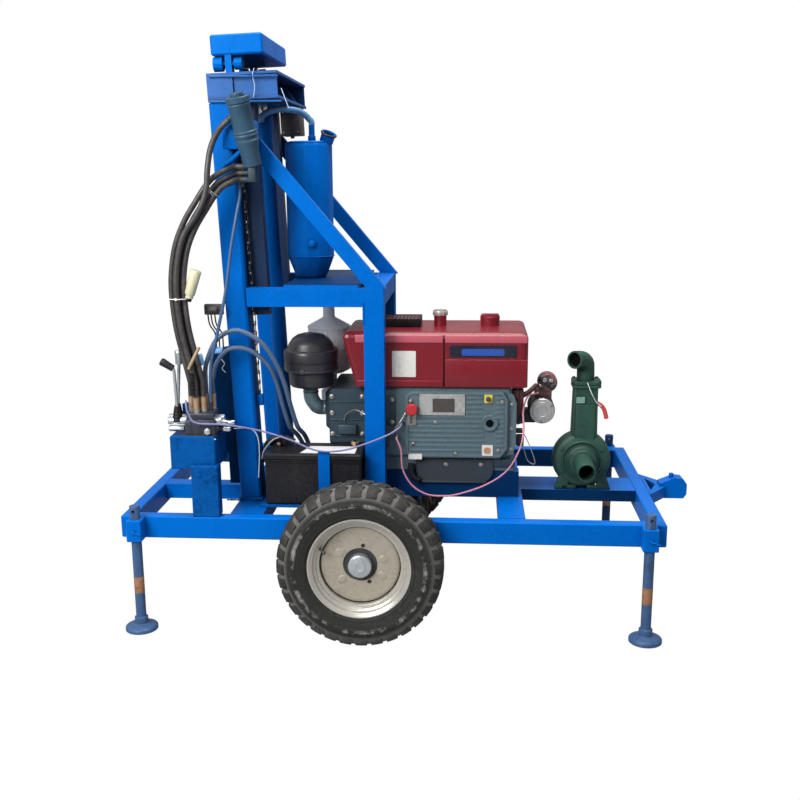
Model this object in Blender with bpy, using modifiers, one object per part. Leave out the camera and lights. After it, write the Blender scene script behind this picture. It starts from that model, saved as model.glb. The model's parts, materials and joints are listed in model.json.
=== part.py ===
"""Small two-wheeled trailer water well drilling rig, modelled in metres, +Z up.

The chassis lies along X with the hitch at +X, the wheels turn about Y and the
ground is z = 0.  Everything hangs on the empty "rig_origin", which stands at
the middle of the rig's whole length, so that chassis sizes are written from
the chassis' own centre.  What stands on the chassis hangs on the empty "deck",
with heights counted from the deck.  The leaning mast is built upright on the
empty "mast_foot", in u (along the chassis), v (across) and w (up the mast).
"""
import math

import bmesh
import bpy
from mathutils import Matrix, Vector

GAP = 0.0003            # clearance between neighbouring solids

# chassis
CH_L = 2.024            # length over the two rails
CH_W = 1.084            # width over the two rails
RAIL_H = 0.085
RAIL_B = 0.050
SILL_H = 0.065
DRAW_L = 0.173          # hitch tip ahead of the front crossbar

# running gear
TYRE_OD = 0.610
TYRE_W = 0.150
TYRE_GAP = 0.010        # tyre's side wall to the rail
BEAD_R = 0.1755         # outside of the rim where the tyre sits
BEAD_Y = 0.055
FLANGE_R = BEAD_R + 0.013
WELL_R = BEAD_R - 0.022
RIM_T = 0.005
HUB_R = 0.060
SPINDLE_R = 0.015
WHEEL_STEPS = 24
WHEEL_X = -0.098
AXLE_B = 0.050
AXLE_Z = TYRE_OD / 2
WHEEL_Y = CH_W / 2 + TYRE_GAP + TYRE_W / 2

# chassis heights
DECK_Z = AXLE_Z + 0.135  # top of rails, crossbars and sills
RAIL_Y = CH_W / 2
UNDER_Z = DECK_Z - RAIL_H

# jack legs
LEG_R = 0.0190
LEG_TOP = DECK_Z + 0.052
LEG_IN = 0.0655         # leg's axis behind the chassis' end
SLEEVE_B = 0.057
SLEEVE_H = 0.084
FOOT_R = 0.061
FOOT_T = 0.016
LEG_X = CH_L / 2 - LEG_IN
LEG_Y = RAIL_Y + SLEEVE_B / 2

# mast, in its own u, v, w
LEAN = math.radians(2.3)
MAST_X = -0.600         # column's rear face at deck height
MAST_Y = -0.020
MAST_HALF = 0.315       # half width over the columns
COL_U = 0.083
COL_V = 0.100
COL_TOP = 1.508
SLIDE_GAP = 0.0055      # outer column's front face to the inner column
INNER_U = 0.066
INNER_V = 0.050
INNER_IN = 0.070        # inner column's outer face inside the column's outer face
INNER_FOOT = 0.720
HEAD_U = 0.257
HEAD_H = 0.096
HEAD_T = 0.010
CAP_W = 0.072
CAP_LIFT = 0.059
BARREL_R = 0.0315
BARREL_U = COL_U + SLIDE_GAP + 0.0475
BARREL_TOP = COL_TOP - 0.038
ROD_R = 0.0175
ROD_FOOT = 0.900
CHAIN_PITCH = 0.0381
CHAIN_U = COL_U + 0.014

# support frame behind the mast, heights above the deck
POST_X0 = MAST_X + 0.493
POST_U = 0.076
POST_B = 0.075
BEAM_H = 0.072
BEAM_T = 0.038
BEAM_TOP = 0.835
BRACE_T = 0.035
BRACE_SLOPE = 1.19
TRAY_T = 0.010

# engine, between the posts; heights above the deck
BED_H = 0.105           # engine bearers
CASE_L = 0.565
CASE_H = 0.283
CASE_LIFT = 0.055       # crankcase above its bearers
HOOD_H = 0.214
HOOD_OVER = 0.059       # hood ahead of the crankcase
FLY_R = 0.205
FLY_W = 0.075
PULLEY_R = 0.066

# mud pump
PUMP_R = 0.117
PUMP_LIFT = 0.121       # its axis above the deck

TAU = 2 * math.pi


def clear_scene():
    for obj in list(bpy.data.objects):
        bpy.data.objects.remove(obj, do_unlink=True)
    for coll in list(bpy.data.collections):
        bpy.data.collections.remove(coll)


clear_scene()
PARTS = bpy.data.collections.new("well_drilling_rig")
CUTTERS = bpy.data.collections.new("cutters")
bpy.context.scene.collection.children.link(PARTS)
bpy.context.scene.collection.children.link(CUTTERS)


def material(name, color, rough, metal=0.0):
    mat = bpy.data.materials.new(name)
    mat.use_nodes = True
    bsdf = mat.node_tree.nodes["Principled BSDF"]
    bsdf.inputs["Base Color"].default_value = (*color, 1.0)
    bsdf.inputs["Roughness"].default_value = rough
    bsdf.inputs["Metallic"].default_value = metal
    return mat


FRAME_BLUE = material("frame_blue", (0.010, 0.130, 0.560), 0.38)
ENGINE_GREY = material("engine_grey", (0.130, 0.170, 0.180), 0.50)
HOOD_RED = material("hood_red", (0.260, 0.020, 0.024), 0.32)
DARK_IRON = material("dark_iron", (0.045, 0.050, 0.055), 0.55)
PUMP_GREEN = material("pump_green", (0.030, 0.130, 0.070), 0.50)
MOTOR_GREY = material("motor_grey", (0.150, 0.230, 0.240), 0.45)
SILVER = material("silver_paint", (0.480, 0.480, 0.470), 0.40, 0.7)
CHROME = material("chrome", (0.700, 0.710, 0.720), 0.14, 1.0)
STEEL = material("bare_steel", (0.420, 0.400, 0.370), 0.40, 1.0)
WHEEL_SILVER = material("wheel_silver", (0.450, 0.410, 0.350), 0.42, 0.6)
RUBBER = material("tyre_rubber", (0.028, 0.027, 0.026), 0.85)
HOSE_BLACK = material("hose_black", (0.050, 0.045, 0.042), 0.60)
BATTERY_BLACK = material("battery_black", (0.030, 0.030, 0.034), 0.50)
LILAC = material("cable_lilac", (0.300, 0.300, 0.560), 0.50)
PINK = material("cable_pink", (0.420, 0.130, 0.200), 0.50)
HOSE_BLUE = material("hose_blue", (0.300, 0.480, 0.720), 0.45)
OXIDE_RED = material("oxide_red", (0.100, 0.022, 0.020), 0.60)


def empty(name, location, parent=None):
    obj = bpy.data.objects.new(name, None)
    obj.location = location
    obj.parent = parent
    obj.empty_display_size = 0.1
    PARTS.objects.link(obj)
    return obj


ORIGIN = empty("rig_origin", (-DRAW_L / 2, 0, 0))
DECK = empty("deck", (0, 0, DECK_Z), ORIGIN)
MAST = empty("mast_foot", (MAST_X, MAST_Y, 0), DECK)
MAST.rotation_euler = (0, -LEAN, 0)


def take(obj):
    """The object just made, out of the scene's own collection and into the parts."""
    for coll in list(obj.users_collection):
        coll.objects.unlink(obj)
    PARTS.objects.link(obj)
    return obj


def closed(obj):
    """Its evaluated shape as one welded mesh at the origin, faces pointing out."""
    bpy.context.view_layer.update()
    graph = bpy.context.evaluated_depsgraph_get()
    mesh = bpy.data.meshes.new_from_object(obj.evaluated_get(graph))
    mesh.transform(obj.matrix_world)
    bm = bmesh.new()
    bm.from_mesh(mesh)
    bmesh.ops.remove_doubles(bm, verts=bm.verts, dist=0.00002)
    bmesh.ops.recalc_face_normals(bm, faces=bm.faces)
    bm.to_mesh(mesh)
    bm.free()
    mesh.materials.clear()
    fresh = bpy.data.objects.new(obj.name, mesh)
    name = obj.name
    bpy.data.objects.remove(obj, do_unlink=True)
    fresh.name = name
    PARTS.objects.link(fresh)
    return fresh


def box(x, y, z, bevel=0.0, segments=1):
    bpy.ops.mesh.primitive_cube_add(size=1)
    obj = take(bpy.context.active_object)
    obj.scale = (x[1] - x[0], y[1] - y[0], z[1] - z[0])
    obj.location = ((x[0] + x[1]) / 2, (y[0] + y[1]) / 2, (z[0] + z[1]) / 2)
    obj = closed(obj)
    if bevel:
        mod = obj.modifiers.new("round", "BEVEL")
        mod.width = bevel
        mod.segments = segments
        obj = closed(obj)
    return obj


def bar(a, b, radius, sides=24, radius_b=None):
    """A round bar, or a cone, from point a to point b."""
    a, b = Vector(a), Vector(b)
    bpy.ops.mesh.primitive_cone_add(vertices=sides, radius1=radius, depth=(b - a).length,
                                    radius2=radius if radius_b is None else radius_b)
    obj = take(bpy.context.active_object)
    obj.rotation_mode = "QUATERNION"
    obj.rotation_quaternion = (b - a).to_track_quat("Z", "Y")
    obj.location = (a + b) / 2
    return closed(obj)


def ball(centre, radius, segments=16):
    bpy.ops.mesh.primitive_uv_sphere_add(segments=segments, ring_count=segments // 2,
                                         radius=radius, location=centre)
    return closed(take(bpy.context.active_object))


PLANES = {
    "XZ": Matrix(((1, 0, 0, 0), (0, 0, -1, 0), (0, 1, 0, 0), (0, 0, 0, 1))),
    "XY": Matrix.Identity(4),
    "YZ": Matrix(((0, 0, 1, 0), (1, 0, 0, 0), (0, 1, 0, 0), (0, 0, 0, 1))),
}


def outline(plane, depth, *loops):
    """A flat outline, with any holes, standing in a plane and as thick as depth."""
    curve = bpy.data.curves.new("outline", "CURVE")
    curve.dimensions = "2D"
    curve.fill_mode = "BOTH"
    curve.extrude = (depth[1] - depth[0]) / 2
    for loop in loops:
        spline = curve.splines.new("POLY")
        spline.points.add(len(loop) - 1)
        for point, (a, b) in zip(spline.points, loop):
            point.co = (a, b, 0, 1)
        spline.use_cyclic_u = True
    obj = bpy.data.objects.new("outline", curve)
    PARTS.objects.link(obj)
    middle = (depth[0] + depth[1]) / 2
    shift = {"XZ": (0, middle, 0), "XY": (0, 0, middle), "YZ": (middle, 0, 0)}[plane]
    obj.matrix_world = Matrix.Translation(shift) @ PLANES[plane]
    return closed(obj)


def turned(profile, centre, axis, steps=32):
    """A profile of (radius, height) turned about an axis through centre."""
    mesh = bpy.data.meshes.new("turned")
    bm = bmesh.new()
    verts = [bm.verts.new((r, 0, h)) for r, h in profile]
    for a, b in zip(verts, verts[1:]):
        bm.edges.new((a, b))
    if profile[0][0] > 0.0001:
        bm.edges.new((verts[-1], verts[0]))
    bm.to_mesh(mesh)
    bm.free()
    obj = bpy.data.objects.new("turned", mesh)
    PARTS.objects.link(obj)
    mod = obj.modifiers.new("turn", "SCREW")
    mod.angle = TAU
    mod.steps = steps
    mod.render_steps = steps
    mod.use_merge_vertices = True
    mod.merge_threshold = 0.00002
    obj.matrix_world = (Matrix.Translation(centre)
                        @ Vector(axis).to_track_quat("Z", "Y").to_matrix().to_4x4())
    return closed(obj)


def combine(base, others, operation):
    for other in others:
        mod = base.modifiers.new("boolean", "BOOLEAN")
        mod.operation = operation
        mod.solver = "EXACT"
        mod.object = other
        base = closed(base)
        bpy.data.objects.remove(other, do_unlink=True)
    return base


def joined(base, *others):
    return combine(base, others, "UNION")


def cut(base, *others):
    return combine(base, others, "DIFFERENCE")


def piece(name, obj, mat, parent=ORIGIN, smooth=35):
    obj.name = name
    obj.data.name = name
    obj.data.materials.clear()
    obj.data.materials.append(mat)
    if obj.type == "MESH":
        obj.data.shade_smooth()
        obj.data.set_sharp_from_angle(angle=math.radians(smooth))
    obj.parent = parent
    return obj


def smooth_route(points, step):
    """Points about one step apart on a smooth curve through the route's own points."""
    pts = [Vector(p) for p in points]
    pts = [2 * pts[0] - pts[1]] + pts + [2 * pts[-1] - pts[-2]]
    fine = []
    for p0, p1, p2, p3 in zip(pts, pts[1:], pts[2:], pts[3:]):
        for i in range(24):
            t = i / 24
            fine.append(0.5 * (2 * p1 + (p2 - p0) * t + (2 * p0 - 5 * p1 + 4 * p2 - p3) * t * t
                               + (3 * p1 - p0 - 3 * p2 + p3) * t ** 3))
    fine.append(pts[-2])
    lengths = [0.0]
    for a, b in zip(fine, fine[1:]):
        lengths.append(lengths[-1] + (b - a).length)
    count = max(4, round(lengths[-1] / step))
    out, j = [], 0
    for i in range(count + 1):
        want = lengths[-1] * i / count
        while j < len(fine) - 2 and lengths[j + 1] < want:
            j += 1
        span = max(lengths[j + 1] - lengths[j], 1e-9)
        out.append(fine[j].lerp(fine[j + 1], (want - lengths[j]) / span))
    return out


def hose(name, points, diameter, mat, parent=ORIGIN, step=2.5):
    """A round tube along a route; step is its points' spacing in diameters, 0 to keep them."""
    curve = bpy.data.curves.new(name, "CURVE")
    curve.dimensions = "3D"
    curve.bevel_depth = diameter / 2
    curve.bevel_resolution = 2
    curve.use_fill_caps = True
    curve.resolution_u = 1
    curve.render_resolution_u = 0
    route = smooth_route(points, step * diameter) if step else points
    spline = curve.splines.new("POLY")
    spline.points.add(len(route) - 1)
    for point, co in zip(spline.points, route):
        point.co = (*co, 1)
    obj = bpy.data.objects.new(name, curve)
    PARTS.objects.link(obj)
    curve.materials.append(mat)
    obj.parent = parent
    return obj


# Places along the chassis, from the mast forwards

POST_X = (POST_X0, POST_X0 + POST_U)
MAST_SILL = (MAST_X - 0.005, MAST_X + 0.120)
REAR_SILL = (POST_X[0] - 0.028, POST_X[1] + 0.001)
CASE_X = (POST_X[0] - 0.003, POST_X[0] - 0.003 + CASE_L)
FRONT_SILL = (CASE_X[1] - 0.050, CASE_X[1] + 0.048)
PUMP_X = FRONT_SILL[1] + 0.241
MAST_FACE = (MAST_Y - MAST_HALF, MAST_Y + MAST_HALF)
CASE_Y = (MAST_FACE[0] + POST_B + 0.010, MAST_FACE[1] - POST_B - 0.040)
CASE_Z = (BED_H + CASE_LIFT, BED_H + CASE_LIFT + CASE_H)
BED_Y = ((CASE_Y[0] + 0.015, CASE_Y[0] + 0.065), (CASE_Y[1] - 0.065, CASE_Y[1] - 0.015))


# Chassis: a welded ring with the jack legs' sleeves, and the sills across it

def ring(half_x, half_y):
    return [(-half_x, -half_y), (half_x, -half_y), (half_x, half_y), (-half_x, half_y)]


def chassis_frame():
    obj = outline("XY", (UNDER_Z, DECK_Z), ring(CH_L / 2, RAIL_Y), ring(CH_L / 2 - RAIL_B, RAIL_Y - RAIL_B))
    mod = obj.modifiers.new("round", "BEVEL")
    mod.width = 0.004
    mod.segments = 1
    obj = closed(obj)
    corners = [(end * LEG_X, side) for end in (-1, 1) for side in (-1, 1)]
    for x, side in corners:
        sleeve = box((x - SLEEVE_B / 2, x + SLEEVE_B / 2),
                     sorted((side * (RAIL_Y - 0.002), side * (RAIL_Y + SLEEVE_B))),
                     (DECK_Z - SLEEVE_H, DECK_Z), 0.003)
        obj = joined(obj, sleeve)
    for x, side in corners:
        obj = cut(obj, bar((x, side * LEG_Y, UNDER_Z - 0.05), (x, side * LEG_Y, DECK_Z + 0.05),
                           LEG_R + 0.0008, 20))
    return obj


piece("chassis_frame", chassis_frame(), FRAME_BLUE)
RAIL_IN = RAIL_Y - RAIL_B - GAP
BAR_IN = CH_L / 2 - RAIL_B - GAP


def channel(across, length, plane, wall=0.007, depth=SILL_H):
    """A channel with its web at deck height and its two lips hanging down."""
    a, b = across
    return outline(plane, length, [(a, 0), (b, 0), (b, -depth), (b - wall, -depth), (b - wall, -wall),
                                   (a + wall, -wall), (a + wall, -depth), (a, -depth)])


def sill_mast():
    bearer = channel((-0.135, -0.065), (-BAR_IN, MAST_SILL[0] + 0.004), "YZ", depth=SILL_H - 0.004)
    return joined(channel(MAST_SILL, (-RAIL_IN, RAIL_IN), "XZ"), bearer)


def engine_subframe():
    """Two sills, the engine's two bearers over them and the pump's bearer ahead."""
    obj = channel(REAR_SILL, (-RAIL_IN, RAIL_IN), "XZ")
    front = channel(FRONT_SILL, (-RAIL_IN, RAIL_IN), "XZ")
    pump_bed = channel((-0.130, 0.050), (FRONT_SILL[1] - 0.004, BAR_IN), "YZ", depth=0.046)
    obj = joined(obj, *[box((REAR_SILL[0] + 0.036, FRONT_SILL[1] - 0.015), y, (-0.003, BED_H - GAP))
                        for y in BED_Y])
    return joined(obj, front, pump_bed)


piece("sill_mast", sill_mast(), FRAME_BLUE, DECK)
piece("engine_subframe", engine_subframe(), FRAME_BLUE, DECK)


# Hitch: an A of two bars that closes on the coupler

ARM_Y = 0.150
ARM_B = 0.045
ARM_Z = (DECK_Z - 0.055, DECK_Z - 0.010)
TIP_X = CH_L / 2 + DRAW_L
COUPLER_X = TIP_X - 0.110


def hitch():
    x0 = CH_L / 2 + GAP
    outer = [(x0, -ARM_Y), (x0, ARM_Y), (COUPLER_X + 0.03, 0.026), (COUPLER_X + 0.03, -0.026)]
    inner = [(x0 + ARM_B * 0.4, -ARM_Y + ARM_B * 1.5), (x0 + ARM_B * 0.4, ARM_Y - ARM_B * 1.5),
             (COUPLER_X - 0.016, 0.010), (COUPLER_X - 0.016, -0.010)]
    frame = outline("XY", ARM_Z, outer, inner)
    z0 = ARM_Z[0] - 0.006
    head = outline("XZ", (-0.030, 0.030),
                   [(COUPLER_X, z0), (TIP_X - 0.012, z0), (TIP_X, z0 + 0.018), (TIP_X, z0 + 0.061),
                    (TIP_X - 0.018, z0 + 0.083), (TIP_X - 0.050, z0 + 0.087), (COUPLER_X, z0 + 0.061)])
    bolt = bar((TIP_X - 0.060, 0, z0 + 0.071), (TIP_X - 0.060, 0, z0 + 0.099), 0.010, 6)
    socket = bar((TIP_X - 0.034, 0, z0 - 0.08), (TIP_X - 0.034, 0, z0 + 0.046), 0.0245, 20)
    return cut(joined(frame, head, bolt), socket)


piece("hitch", hitch(), FRAME_BLUE)


# Axle, wheels and tyres

def axle():
    half = AXLE_B / 2
    beam = box((WHEEL_X - half, WHEEL_X + half), (-RAIL_Y + 0.004, RAIL_Y - 0.004),
               (AXLE_Z - half, AXLE_Z + half), 0.003)
    for side in (-1, 1):
        rail_mid = side * (RAIL_Y - RAIL_B / 2)
        hanger = box((WHEEL_X - 0.045, WHEEL_X + 0.045), (rail_mid - 0.020, rail_mid + 0.020),
                     (AXLE_Z, UNDER_Z - GAP))
        spindle = bar((WHEEL_X, side * (RAIL_Y - 0.03), AXLE_Z),
                      (WHEEL_X, side * (WHEEL_Y + 0.025), AXLE_Z), SPINDLE_R, 20)
        beam = joined(beam, hanger, spindle)
    return beam


piece("axle", axle(), FRAME_BLUE)


def tyre(side):
    r, h = TYRE_OD / 2, TYRE_W / 2
    bead = BEAD_R + GAP
    half = [(bead, 0), (bead, BEAD_Y - 0.0018), (FLANGE_R + 0.0005, BEAD_Y + 0.0006), (r * 0.67, h - 0.010),
            (r * 0.77, h), (r * 0.87, h - 0.003), (r - 0.008, h - 0.014), (r, h - 0.026)]
    profile = half + [(a, -b) for a, b in reversed(half[1:])]
    centre = (WHEEL_X, side * WHEEL_Y, AXLE_Z)
    return turned(profile, centre, (0, side, 0), WHEEL_STEPS)


def wheel(side):
    """Rim with its well, the disc that sits deep in it and the hub on the spindle."""
    out, t = BEAD_Y + 0.0065, RIM_T
    rim = [(FLANGE_R, out), (FLANGE_R, out - t), (BEAD_R, BEAD_Y - 0.001), (BEAD_R, 0.036), (WELL_R, 0.029),
           (WELL_R, -0.029), (BEAD_R, -0.036), (BEAD_R, -BEAD_Y + 0.001), (FLANGE_R, -out + t),
           (FLANGE_R, -out), (BEAD_R - t, -BEAD_Y - 0.004), (WELL_R - t, -0.026),
           (WELL_R - t, 0.026), (BEAD_R - t, 0.034), (BEAD_R - t, BEAD_Y + 0.004)]
    centre = (WHEEL_X, side * WHEEL_Y, AXLE_Z)
    obj = turned(rim, centre, (0, side, 0), WHEEL_STEPS)
    edge = WELL_R - t
    disc = [(edge + 0.002, 0.004), (edge - 0.004, 0.013), (edge - 0.011, 0.016), (HUB_R + 0.0025, 0.012),
            (HUB_R + 0.0025, 0.007), (edge - 0.013, 0.011), (edge - 0.008, 0.008), (edge + 0.002, -0.004)]
    hub = [(0, 0.045), (0.036, 0.045), (0.043, 0.036), (0.043, 0.006), (0.075, 0.0095), (0.075, -0.002),
           (HUB_R, -0.006), (HUB_R, -0.052), (SPINDLE_R + 0.0005, -0.052), (SPINDLE_R + 0.0005, 0.030),
           (0, 0.030)]
    return joined(obj, turned(disc, centre, (0, side, 0), WHEEL_STEPS), turned(hub, centre, (0, side, 0), 16))


for label, side in (("near", -1), ("far", 1)):
    piece("tyre_" + label, tyre(side), RUBBER)
    piece("wheel_" + label, wheel(side), WHEEL_SILVER)


# Jack legs

def leg(side, x):
    at = (x, side * LEG_Y, 0)
    profile = [(0, LEG_TOP), (LEG_R, LEG_TOP), (LEG_R, 0.052), (LEG_R + 0.006, 0.050),
               (LEG_R + 0.006, FOOT_T + 0.010), (FOOT_R - 0.012, FOOT_T + 0.004), (FOOT_R, FOOT_T - 0.004),
               (FOOT_R, 0), (0, 0)]
    obj = turned(profile, at, (0, 0, 1), 16)
    z = LEG_TOP - 0.020
    return cut(obj, bar((x, side * LEG_Y - 0.05, z), (x, side * LEG_Y + 0.05, z), 0.006, 8))


for row, side in (("near", -1), ("far", 1)):
    for col, end in (("rear", -1), ("front", 1)):
        piece("leg_%s_%s" % (row, col), leg(side, end * LEG_X), FRAME_BLUE)


# Mast: two outer columns, and the inner frame that the cylinder lifts

def column(side):
    v = sorted((side * MAST_HALF, side * (MAST_HALF - COL_V)))
    post = box((0, COL_U), v, (0.006, COL_TOP), 0.008)
    v_out = sorted((side * (MAST_HALF + 0.004), side * (MAST_HALF - COL_V - 0.014)))
    foot = box((-0.004, COL_U + 0.004), v_out, (0.0045, 0.014))
    foot.matrix_world = Matrix.Rotation(LEAN, 4, "Y")
    return joined(post, closed(foot))


HEAD_W0 = COL_TOP + GAP
HEAD_W1 = HEAD_W0 + HEAD_H
INNER_X = (COL_U + SLIDE_GAP, COL_U + SLIDE_GAP + INNER_U)


def inner_mast():
    """Both inner columns and the crosshead over them, a channel open to the front."""
    w0, w1, t = HEAD_W0, HEAD_W1, HEAD_T
    web = INNER_X[0] + 0.0065
    obj = outline("XZ", (-MAST_HALF, MAST_HALF),
                  [(0, w0), (HEAD_U, w0), (HEAD_U, w0 + t), (web, w0 + t), (web, w1 - t),
                   (HEAD_U, w1 - t), (HEAD_U, w1), (0, w1)])
    end_plate = [(web - 0.005, w0 + t / 2), (HEAD_U - 0.003, w0 + t / 2), (HEAD_U - 0.003, w1 - t / 2),
                 (web - 0.005, w1 - t / 2)]
    gusset = [(web - 0.005, w0 + t / 2), (HEAD_U - 0.004, w0 + t / 2), (HEAD_U - 0.004, w0 + t),
              (HEAD_U - 0.060, w1 - t / 2), (web - 0.005, w1 - t / 2)]
    for v, rib in ((-MAST_HALF + 0.008, end_plate), (-MAST_HALF / 3, gusset), (MAST_HALF / 3, gusset),
                   (MAST_HALF - 0.016, end_plate)):
        obj = joined(obj, outline("XZ", (v, v + 0.008), rib))
    for side in (-1, 1):
        v = sorted((side * (MAST_HALF - INNER_IN), side * (MAST_HALF - INNER_IN - INNER_V)))
        obj = joined(obj, box(INNER_X, v, (INNER_FOOT, w0 + t / 2)))
    return obj


def mast_cap():
    """The box on top, pinned on two lugs that stand on the crosshead."""
    w0 = HEAD_W1 + GAP
    w1 = w0 + CAP_LIFT
    v0, v1 = -MAST_HALF, MAST_HALF - 0.160
    pin_w = w0 + CAP_LIFT * 0.52
    obj = box((0.023, 0.213), (v0, v1), (w1, w1 + CAP_W), 0.006)
    for v in (v0 + 0.004, v1 - 0.044):
        lug = box((0.072, 0.096), (v, v + 0.040), (w0, w1 + 0.01))
        pin = bar((0.026, v + 0.018, pin_w), (0.134, v + 0.018, pin_w), 0.014, 10)
        nut_a = bar((0.028, v + 0.018, pin_w), (0.062, v + 0.018, pin_w), 0.026, 12)
        nut_b = bar((0.104, v + 0.018, pin_w), (0.132, v + 0.018, pin_w), 0.022, 12)
        obj = joined(obj, lug, pin, nut_a, nut_b)
    return obj


def head_box():
    """The dark box that hangs under the crosshead's far half."""
    return box((INNER_X[1] + 0.019, HEAD_U - 0.002), (MAST_HALF - 0.165, MAST_HALF - 0.065),
               (HEAD_W0 - 0.113, HEAD_W0 - GAP), 0.004)


for label, side in (("near", -1), ("far", 1)):
    piece("mast_column_" + label, column(side), FRAME_BLUE, MAST)
piece("inner_mast", inner_mast(), FRAME_BLUE, MAST)
piece("mast_cap", mast_cap(), FRAME_BLUE, MAST)
piece("head_box", head_box(), DARK_IRON, MAST)

PORT_W = BARREL_TOP - 0.020


def barrel():
    foot = box((BARREL_U - 0.045, BARREL_U + 0.020), (-0.045, 0.045), (0.0075, 0.020))
    foot.matrix_world = Matrix.Rotation(LEAN, 4, "Y")
    tube = [(0, 0.012), (BARREL_R, 0.012), (BARREL_R, BARREL_TOP - 0.05),
            (BARREL_R + 0.005, BARREL_TOP - 0.045), (BARREL_R + 0.005, BARREL_TOP),
            (ROD_R + 0.0005, BARREL_TOP), (ROD_R + 0.0005, 0.80), (0, 0.80)]
    port = bar((BARREL_U, -BARREL_R + 0.004, PORT_W), (BARREL_U, -BARREL_R - 0.016, PORT_W), 0.0125, 12)
    return joined(turned(tube, (BARREL_U, 0, 0), (0, 0, 1), 24), closed(foot), port)


piece("feed_barrel", barrel(), FRAME_BLUE, MAST)
piece("feed_rod", bar((BARREL_U, 0, ROD_FOOT), (BARREL_U, 0, COL_TOP), ROD_R, 20), CHROME, MAST)


def chain():
    """A roller chain, its links' flat sides across the column."""
    bottom, top = 0.42, COL_TOP - 0.010
    v = -MAST_HALF + 0.049
    links = int((top - bottom) / CHAIN_PITCH)
    left, right = [], []
    for i in range(links):
        w = bottom + i * CHAIN_PITCH
        for half, t in ((0.0045, 0.0), (0.0090, 0.5)):
            left.append((v - half, w + t * CHAIN_PITCH))
            right.append((v + half, w + t * CHAIN_PITCH))
    strand = outline("YZ", (CHAIN_U - 0.005, CHAIN_U + 0.005), left + right[::-1])
    anchor = box((COL_U + GAP, CHAIN_U + 0.012), (v - 0.012, v + 0.012), (bottom - 0.050, bottom + 0.012))
    return joined(strand, anchor)


piece("feed_chain", chain(), STEEL, MAST)


# Support frame behind the mast: posts, beams, diagonals, cross beam and tray

TAN_LEAN = math.tan(LEAN)
TRAY_TOP = BEAM_TOP + TRAY_T
FACE_CLEAR = 2 * GAP


def column_face(z):
    """Where the column's front face stands at height z above the deck."""
    return MAST_X + COL_U / math.cos(LEAN) - z * TAN_LEAN


def brace_top(foot, z0):
    """Height where a brace's edge that leaves z0 at x = foot reaches the column."""
    run = foot - column_face(0) - FACE_CLEAR
    return (z0 + BRACE_SLOPE * run) / (1 - BRACE_SLOPE * TAN_LEAN)


def support_frame():
    parts = []
    low = BEAM_TOP - BEAM_H
    for side in (-1, 1):
        y_out = MAST_Y + side * MAST_HALF
        parts.append(box(POST_X, sorted((y_out, y_out - side * POST_B)), (GAP, BEAM_TOP)))
        beam_y = sorted((y_out - side * 0.0005, y_out - side * BEAM_T))
        parts.append(outline("XZ", beam_y, [(column_face(low) + FACE_CLEAR, low), (POST_X[0] + 0.003, low),
                                            (POST_X[0] + 0.003, BEAM_TOP - 0.0005),
                                            (column_face(BEAM_TOP) + FACE_CLEAR, BEAM_TOP - 0.0005)]))
        a, b, z0 = POST_X[0] + 0.014, POST_X[1] + 0.010, BEAM_TOP - 0.003
        top_a, top_b = brace_top(a, z0), brace_top(b, z0)
        parts.append(outline("XZ", sorted((y_out - side * 0.001, y_out - side * BRACE_T)),
                             [(a, z0), (b, z0), (column_face(top_b) + FACE_CLEAR, top_b),
                              (column_face(top_a) + FACE_CLEAR, top_a)]))
    inside = (MAST_FACE[0] + POST_B - 0.003, MAST_FACE[1] - POST_B + 0.003)
    parts.append(box((POST_X[0] + 0.001, POST_X[1] - 0.001), inside, (low, BEAM_TOP - 0.0005)))
    parts.append(box((POST_X[0] - 0.298, POST_X[0] - 0.018), (MAST_FACE[0] + 0.0015, MAST_FACE[1] - 0.0015),
                     (BEAM_TOP - 0.002, TRAY_TOP)))
    return joined(*parts)


piece("support_frame", support_frame(), FRAME_BLUE, DECK)


# Hydraulic oil tank: an eight-sided can with a coned foot

TANK_X, TANK_Y = POST_X[0] - 0.240, MAST_Y - 0.010
TANK_R = 0.094
TANK_H = 0.530
TANK_BARB = (TANK_X + 0.014, TANK_Y, TRAY_TOP + TANK_H + 0.063)


def oil_tank():
    z0 = TRAY_TOP + GAP
    top = z0 + TANK_H
    body = turned([(0, z0), (TANK_R * 0.62, z0), (TANK_R * 0.70, z0 + 0.012), (TANK_R, z0 + 0.085),
                   (TANK_R, top - 0.012), (TANK_R - 0.012, top), (0, top)],
                  (TANK_X, TANK_Y, 0), (0, 0, 1), 12)
    barb = bar((TANK_BARB[0], TANK_Y, top - 0.01), TANK_BARB, 0.0125, 12)
    neck = bar((TANK_X + 0.060, TANK_Y, top - 0.03), (TANK_X + 0.085, TANK_Y - 0.02, top + 0.030), 0.027, 16)
    plug = bar((TANK_X + 0.02, TANK_Y - TANK_R + 0.01, z0 + 0.14),
               (TANK_X + 0.02, TANK_Y - TANK_R - 0.012, z0 + 0.14), 0.012, 12)
    return joined(body, barb, neck, plug)


piece("oil_tank", oil_tank(), FRAME_BLUE, DECK, smooth=20)


# Feed motor on the near column

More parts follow.
